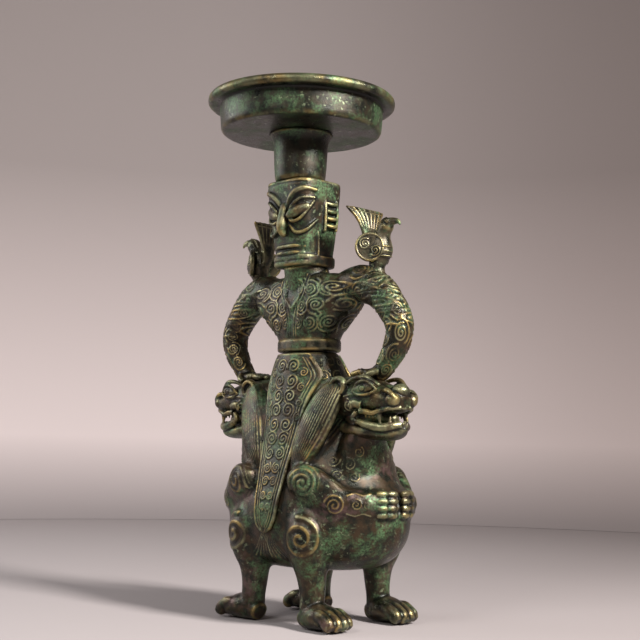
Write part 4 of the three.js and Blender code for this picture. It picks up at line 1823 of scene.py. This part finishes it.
            wax.ball(beside((130.4, 13.6, 231.6))[0], (8, 7.6, 7.2))
            nostril = beside(
                (121, 16, 241, 2.6, 2.8),
                (128, 18.4, 240.5, 2.6, 2.8),
                (134.6, 17, 235, 2.4, 2.8),
                (135.6, 13.6, 229.4, 2.2, 2.4),
            )
            wax.limb(nostril, 16)
        wax.ball((129.5, BEAST_Y, 240.4), (9.4, 9.6, 7.8))
        bridge = [
            (84, BEAST_Y, 246, 7, 10),
            (98, BEAST_Y, 248, 6, 10),
            (112, BEAST_Y, 244, 5, 8),
            (124, BEAST_Y, 241, 4, 6),
        ]
        wax.limb(bridge, 20)
        skull = [
            (48, 232, 20, 20),
            (60, 233, 23.5, 25),
            (78, 233.5, 22.5, 27.6),
            (95, 235, 18.4, 26.6),
            (108, 232.5, 15.4, 24.6),
            (120, 230.5, 12.6, 22),
            (130, 229.5, 10, 19),
            (136, 228.6, 6, 12),
        ]
        wax.limb([(x, BEAST_Y, z, h, b) for x, z, h, b in skull], 40, 36, power=2.4)
        jaw = [
            (64, 204, 10, 20),
            (78, 202.4, 10.2, 23.4),
            (96, 200, 8.6, 22.4),
            (110, 198.6, 7.6, 20),
            (121, 198.4, 6.6, 16.4),
            (129, 200.6, 4.6, 11.6),
            (133.4, 203.4, 2.6, 6),
        ]
        wax.limb([(x, BEAST_Y, z, h, b) for x, z, h, b in jaw], 36, 32, power=2.2)
        throat = [(70, BEAST_Y, 226, 16, 18), (78, BEAST_Y, 214, 14, 21), (82, BEAST_Y, 204, 12, 21)]
        wax.limb(throat, 28, 16)
        palate = [
            (78, BEAST_Y, 214, 10, 15),
            (96, BEAST_Y, 214, 10, 14),
            (110, BEAST_Y, 213, 8.4, 11),
            (121, BEAST_Y, 212.4, 6.4, 7),
            (125, BEAST_Y, 212, 3, 4),
        ]
        wax.limb(palate, 20)
        tongue = [
            (84, BEAST_Y, 209, 2.6, 10),
            (104, BEAST_Y, 208.6, 2.6, 9.6),
            (118, BEAST_Y, 207.6, 2.2, 7),
            (124, BEAST_Y, 208.4, 1.6, 4),
        ]
        wax.limb(tongue, 20)
        obj = self.turned(wax).cast(f"{self.word}_beast_head_form", 0.75, 3)
        s = self.side
        reliefs = []
        for way in (-1, 1):
            cheek = facing((s * 88, BEAST_Y + way * 27, 226), (0.1 * s, way, 0), 16, False)
            h = s * way
            turn = Hand.COUNTER if h > 0 else Hand.CLOCKWISE
            marks = [
                spiral((6 * h, 0), 6.4, 1.8, 90, turn), stroke((-8 * h, 9), (0, 11), (12 * h, 9))
            ]
            reliefs.append(Relief(cheek, marks, 0.9, 0.7))
            eye = facing((s * 102.6, BEAST_Y + way * 28, 243), (0.1 * s, way, 0), 7, False)
            reliefs.append(Relief(eye, [spiral((0, 0), 3.4, 1.0, 0, Hand.COUNTER, 1.0)], 0.7, -0.8))
        emboss(obj, reliefs)
        nodes = [f"{self.word}_beast_head", f"{self.word}_beast_jaw"]
        self.shop.finish(obj, BEAST_BRONZE, Body.BASE, "dark_bronze", nodes)

    def build(self) -> None:
        """Builds all of the beast."""
        self.body()
        self.head()


@dataclass
class Studio:
    """Floor, light and camera.

    Attributes:
        shift: what turns this script's y into the frame's, in millimetres.
        azimuth: degrees of the camera from the figure's front towards its left.
        distance: of the camera from the feet's centre, in millimetres.
        height: of the camera, in millimetres.
        pitch: degrees that it looks up.
        roll: degrees that it leans.
        yaw: degrees that it looks aside from the feet's centre.
        lens: its focal length on a 36 mm sensor.
        floor_paper_shade: colour of the floor, painted darker than the sweep as painted shade.
        back_paper_light: colour of the sweep behind the object, painted paler as painted light.
        top_paper_shade: colour of the sweep's top, painted darker as painted shade.
        shade: the painted shade that the paper's right side is darkened by.
        sweep_radius: how far behind the object the sweep starts, in metres.
    """

    shift: float
    azimuth: float = 45.02
    distance: float = 1310.84
    height: float = 184.64
    pitch: float = 5.96
    roll: float = 1.16
    yaw: float = 0.07
    lens: float = 67.8
    floor_paper_shade: str = "9b9495"
    back_paper_light: str = "ded2d2"
    top_paper_shade: str = "a39a99"
    shade: str = "c4c0be"
    sweep_radius: float = 1.7

    def camera(self) -> None:
        """Sets the camera where the photograph was taken from."""
        angle = math.radians(self.azimuth)
        place = Vector(
            (
                math.sin(angle) * self.distance,
                -math.cos(angle) * self.distance + self.shift,
                self.height,
            )
        )
        turned = angle + math.radians(self.yaw)
        level = Vector((-math.sin(turned), math.cos(turned), 0))
        tilt = math.radians(self.pitch)
        forward = level * math.cos(tilt) + Vector((0, 0, math.sin(tilt)))
        right = forward.cross(Vector((0, 0, 1))).normalized()
        up = right.cross(forward).normalized()
        c, s = math.cos(math.radians(self.roll)), math.sin(math.radians(self.roll))
        x, y, z = right * c + up * s, up * c - right * s, -forward
        data = bpy.data.cameras.new("camera")
        data.lens = self.lens
        data.sensor_width = 36
        obj = bpy.data.objects.new("camera", data)
        obj.matrix_world = Matrix.Translation(place * MM) @ Matrix((x, y, z)).transposed().to_4x4()
        bpy.context.scene.collection.objects.link(obj)
        bpy.context.scene.camera = obj

    @staticmethod
    def lamp(
        name: str, place: tuple[float, float, float], size: float, power: float, tint: str
    ) -> None:
        """Adds a soft lamp that looks at the middle of the object.

        Args:
            name: of the lamp.
            place: in metres.
            size: of its square, in metres.
            power: in watts.
            tint: sRGB hex colour.
        """
        data = bpy.data.lights.new(name, "AREA")
        data.size = size
        data.energy = power
        data.color = colour(tint)[:3]
        obj = bpy.data.objects.new(name, data)
        aim = Vector((0, 0, 0.28)) - Vector(place)
        obj.matrix_world = Matrix.Translation(place) @ aim.to_track_quat(
            "-Z", "Y"
        ).to_matrix().to_4x4()
        bpy.context.scene.collection.objects.link(obj)

    @staticmethod
    def stage(name: str, mesh: bmesh.types.BMesh, finish: bpy.types.Material) -> None:
        """Adds a stage piece.

        Args:
            name: of the piece.
            mesh: its form in metres, used up here.
            finish: its material.
        """
        data = bpy.data.meshes.new(name)
        mesh.to_mesh(data)
        mesh.free()
        data.shade_smooth()
        data.materials.append(finish)
        obj = bpy.data.objects.new(name, data)
        bpy.context.scene.collection.objects.link(obj)

    def paper(self) -> bpy.types.Material:
        """Builds matt paper with painted light and shade: paler behind the object, and painted darker
        on the floor, to the right and above.

        Returns:
            The material of the floor and the sweep.
        """
        made = bpy.data.materials.new("matt_paper_painted_shade")
        made.use_nodes = True
        tree = made.node_tree
        node = partial(add_node, tree)
        split = node("ShaderNodeSeparateXYZ", {0: node("ShaderNodeTexCoord").outputs["Object"]})
        # Painted light and shade by height: the floor is painted darker, the sweep paler behind the
        # object and darker at its top.
        height = node("ShaderNodeValToRGB", {0: split.outputs["Z"]})
        stops = height.color_ramp.elements
        stops[0].color = colour(self.floor_paper_shade)
        stops[1].position, stops[1].color = 0.2, colour(self.back_paper_light)
        stops.new(1.0).color = colour(self.top_paper_shade)
        # Painted shade: the paper darkens towards the right of the picture.
        along = node("ShaderNodeMath", {0: split.outputs["X"], 1: split.outputs["Y"]})
        fade = node(
            "ShaderNodeMapRange",
            {"Value": along.outputs[0], "From Min": -0.6, "From Max": 1.6},
            interpolation_type="SMOOTHSTEP",
        )
        mix = node(
            "ShaderNodeMix",
            {"Factor": fade.outputs["Result"], 6: height.outputs["Color"], 7: colour(self.shade)},
            data_type="RGBA",
            blend_type="MULTIPLY",
        )
        shader = tree.nodes["Principled BSDF"]
        shader.inputs["Roughness"].default_value = 0.9
        tree.links.new(mix.outputs[2], shader.inputs["Base Color"])
        return made

    def floor(self) -> None:
        """Adds the plain floor, and a sweep behind the object that hides its far edge."""
        paper = self.paper()
        floor = bmesh.new()
        bmesh.ops.create_circle(floor, cap_ends=True, segments=96, radius=9.0)
        self.stage("floor", floor, paper)
        sweep = bmesh.new()
        bmesh.ops.create_circle(sweep, cap_ends=False, segments=96, radius=self.sweep_radius)
        behind = Vector((-1, 1, 0)).normalized()
        front = [v for v in sweep.verts if v.co.normalized().dot(behind) < 0.1]
        bmesh.ops.delete(sweep, geom=front, context="VERTS")
        rim = sweep.edges[:]
        bmesh.ops.translate(sweep, verts=sweep.verts[:], vec=(0, 0, 0.0005))
        for i in range(1, 15):
            bend = math.radians(90 * min(1, i / 12))
            step = 0.09 if i < 13 else 1.2
            out = bmesh.ops.extrude_edge_only(sweep, edges=rim)["geom"]
            verts = [g for g in out if isinstance(g, bmesh.types.BMVert)]
            rim = [g for g in out if isinstance(g, bmesh.types.BMEdge)]
            radius = Vector(verts[0].co.xy).length
            grow = 1 + step * math.cos(bend) / radius
            bmesh.ops.scale(sweep, verts=verts, vec=(grow, grow, 1))
            bmesh.ops.translate(sweep, verts=verts, vec=(0, 0, step * math.sin(bend)))
        self.stage("backdrop", sweep, paper)

    @staticmethod
    def surroundings() -> None:
        """Sets the plain world light, and the backdrop that the camera sees."""
        world = bpy.data.worlds.new("studio")
        world.use_nodes = True
        tree = world.node_tree
        tree.nodes.clear()
        node = partial(add_node, tree)
        light = node("ShaderNodeBackground", {"Color": colour("d9d4d2"), "Strength": 0.22})
        seen = node("ShaderNodeBackground", {"Color": colour("bfb1ae")})
        to_camera = node("ShaderNodeLightPath").outputs["Is Camera Ray"]
        mix = node("ShaderNodeMixShader", {0: to_camera, 1: light.outputs[0], 2: seen.outputs[0]})
        node("ShaderNodeOutputWorld", {"Surface": mix.outputs[0]})
        bpy.context.scene.world = world

    def build(self) -> None:
        """Builds the whole studio."""
        self.camera()
        self.floor()
        self.surroundings()
        self.lamp("key", (1.5, 0.1, 1.25), 0.34, 90, "fffaf5")
        self.lamp("front", (0.4, -1.8, 1.6), 0.7, 24, "fdfaf6")
        self.lamp("side", (-1.5, -0.9, 1.0), 0.9, 16, "ffffff")
        bpy.context.scene.view_settings.view_transform = "Standard"


def main() -> None:
    """Loads the frame, then builds every sub-assembly and the studio."""
    logging.basicConfig(level=logging.INFO, format="%(name)s %(message)s")
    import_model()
    low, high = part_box("oil_dish")
    shift = (low.y + high.y) / 2 / MM - DISH_Y
    shop = Workshop(shift)
    OilDish(shop).build()
    Figure(shop).build()
    for side in (1, -1):
        Bird(shop, side).build()
        Beast(shop, side).build()
    Studio(shift).build()


if __name__ == "__main__":
    main()
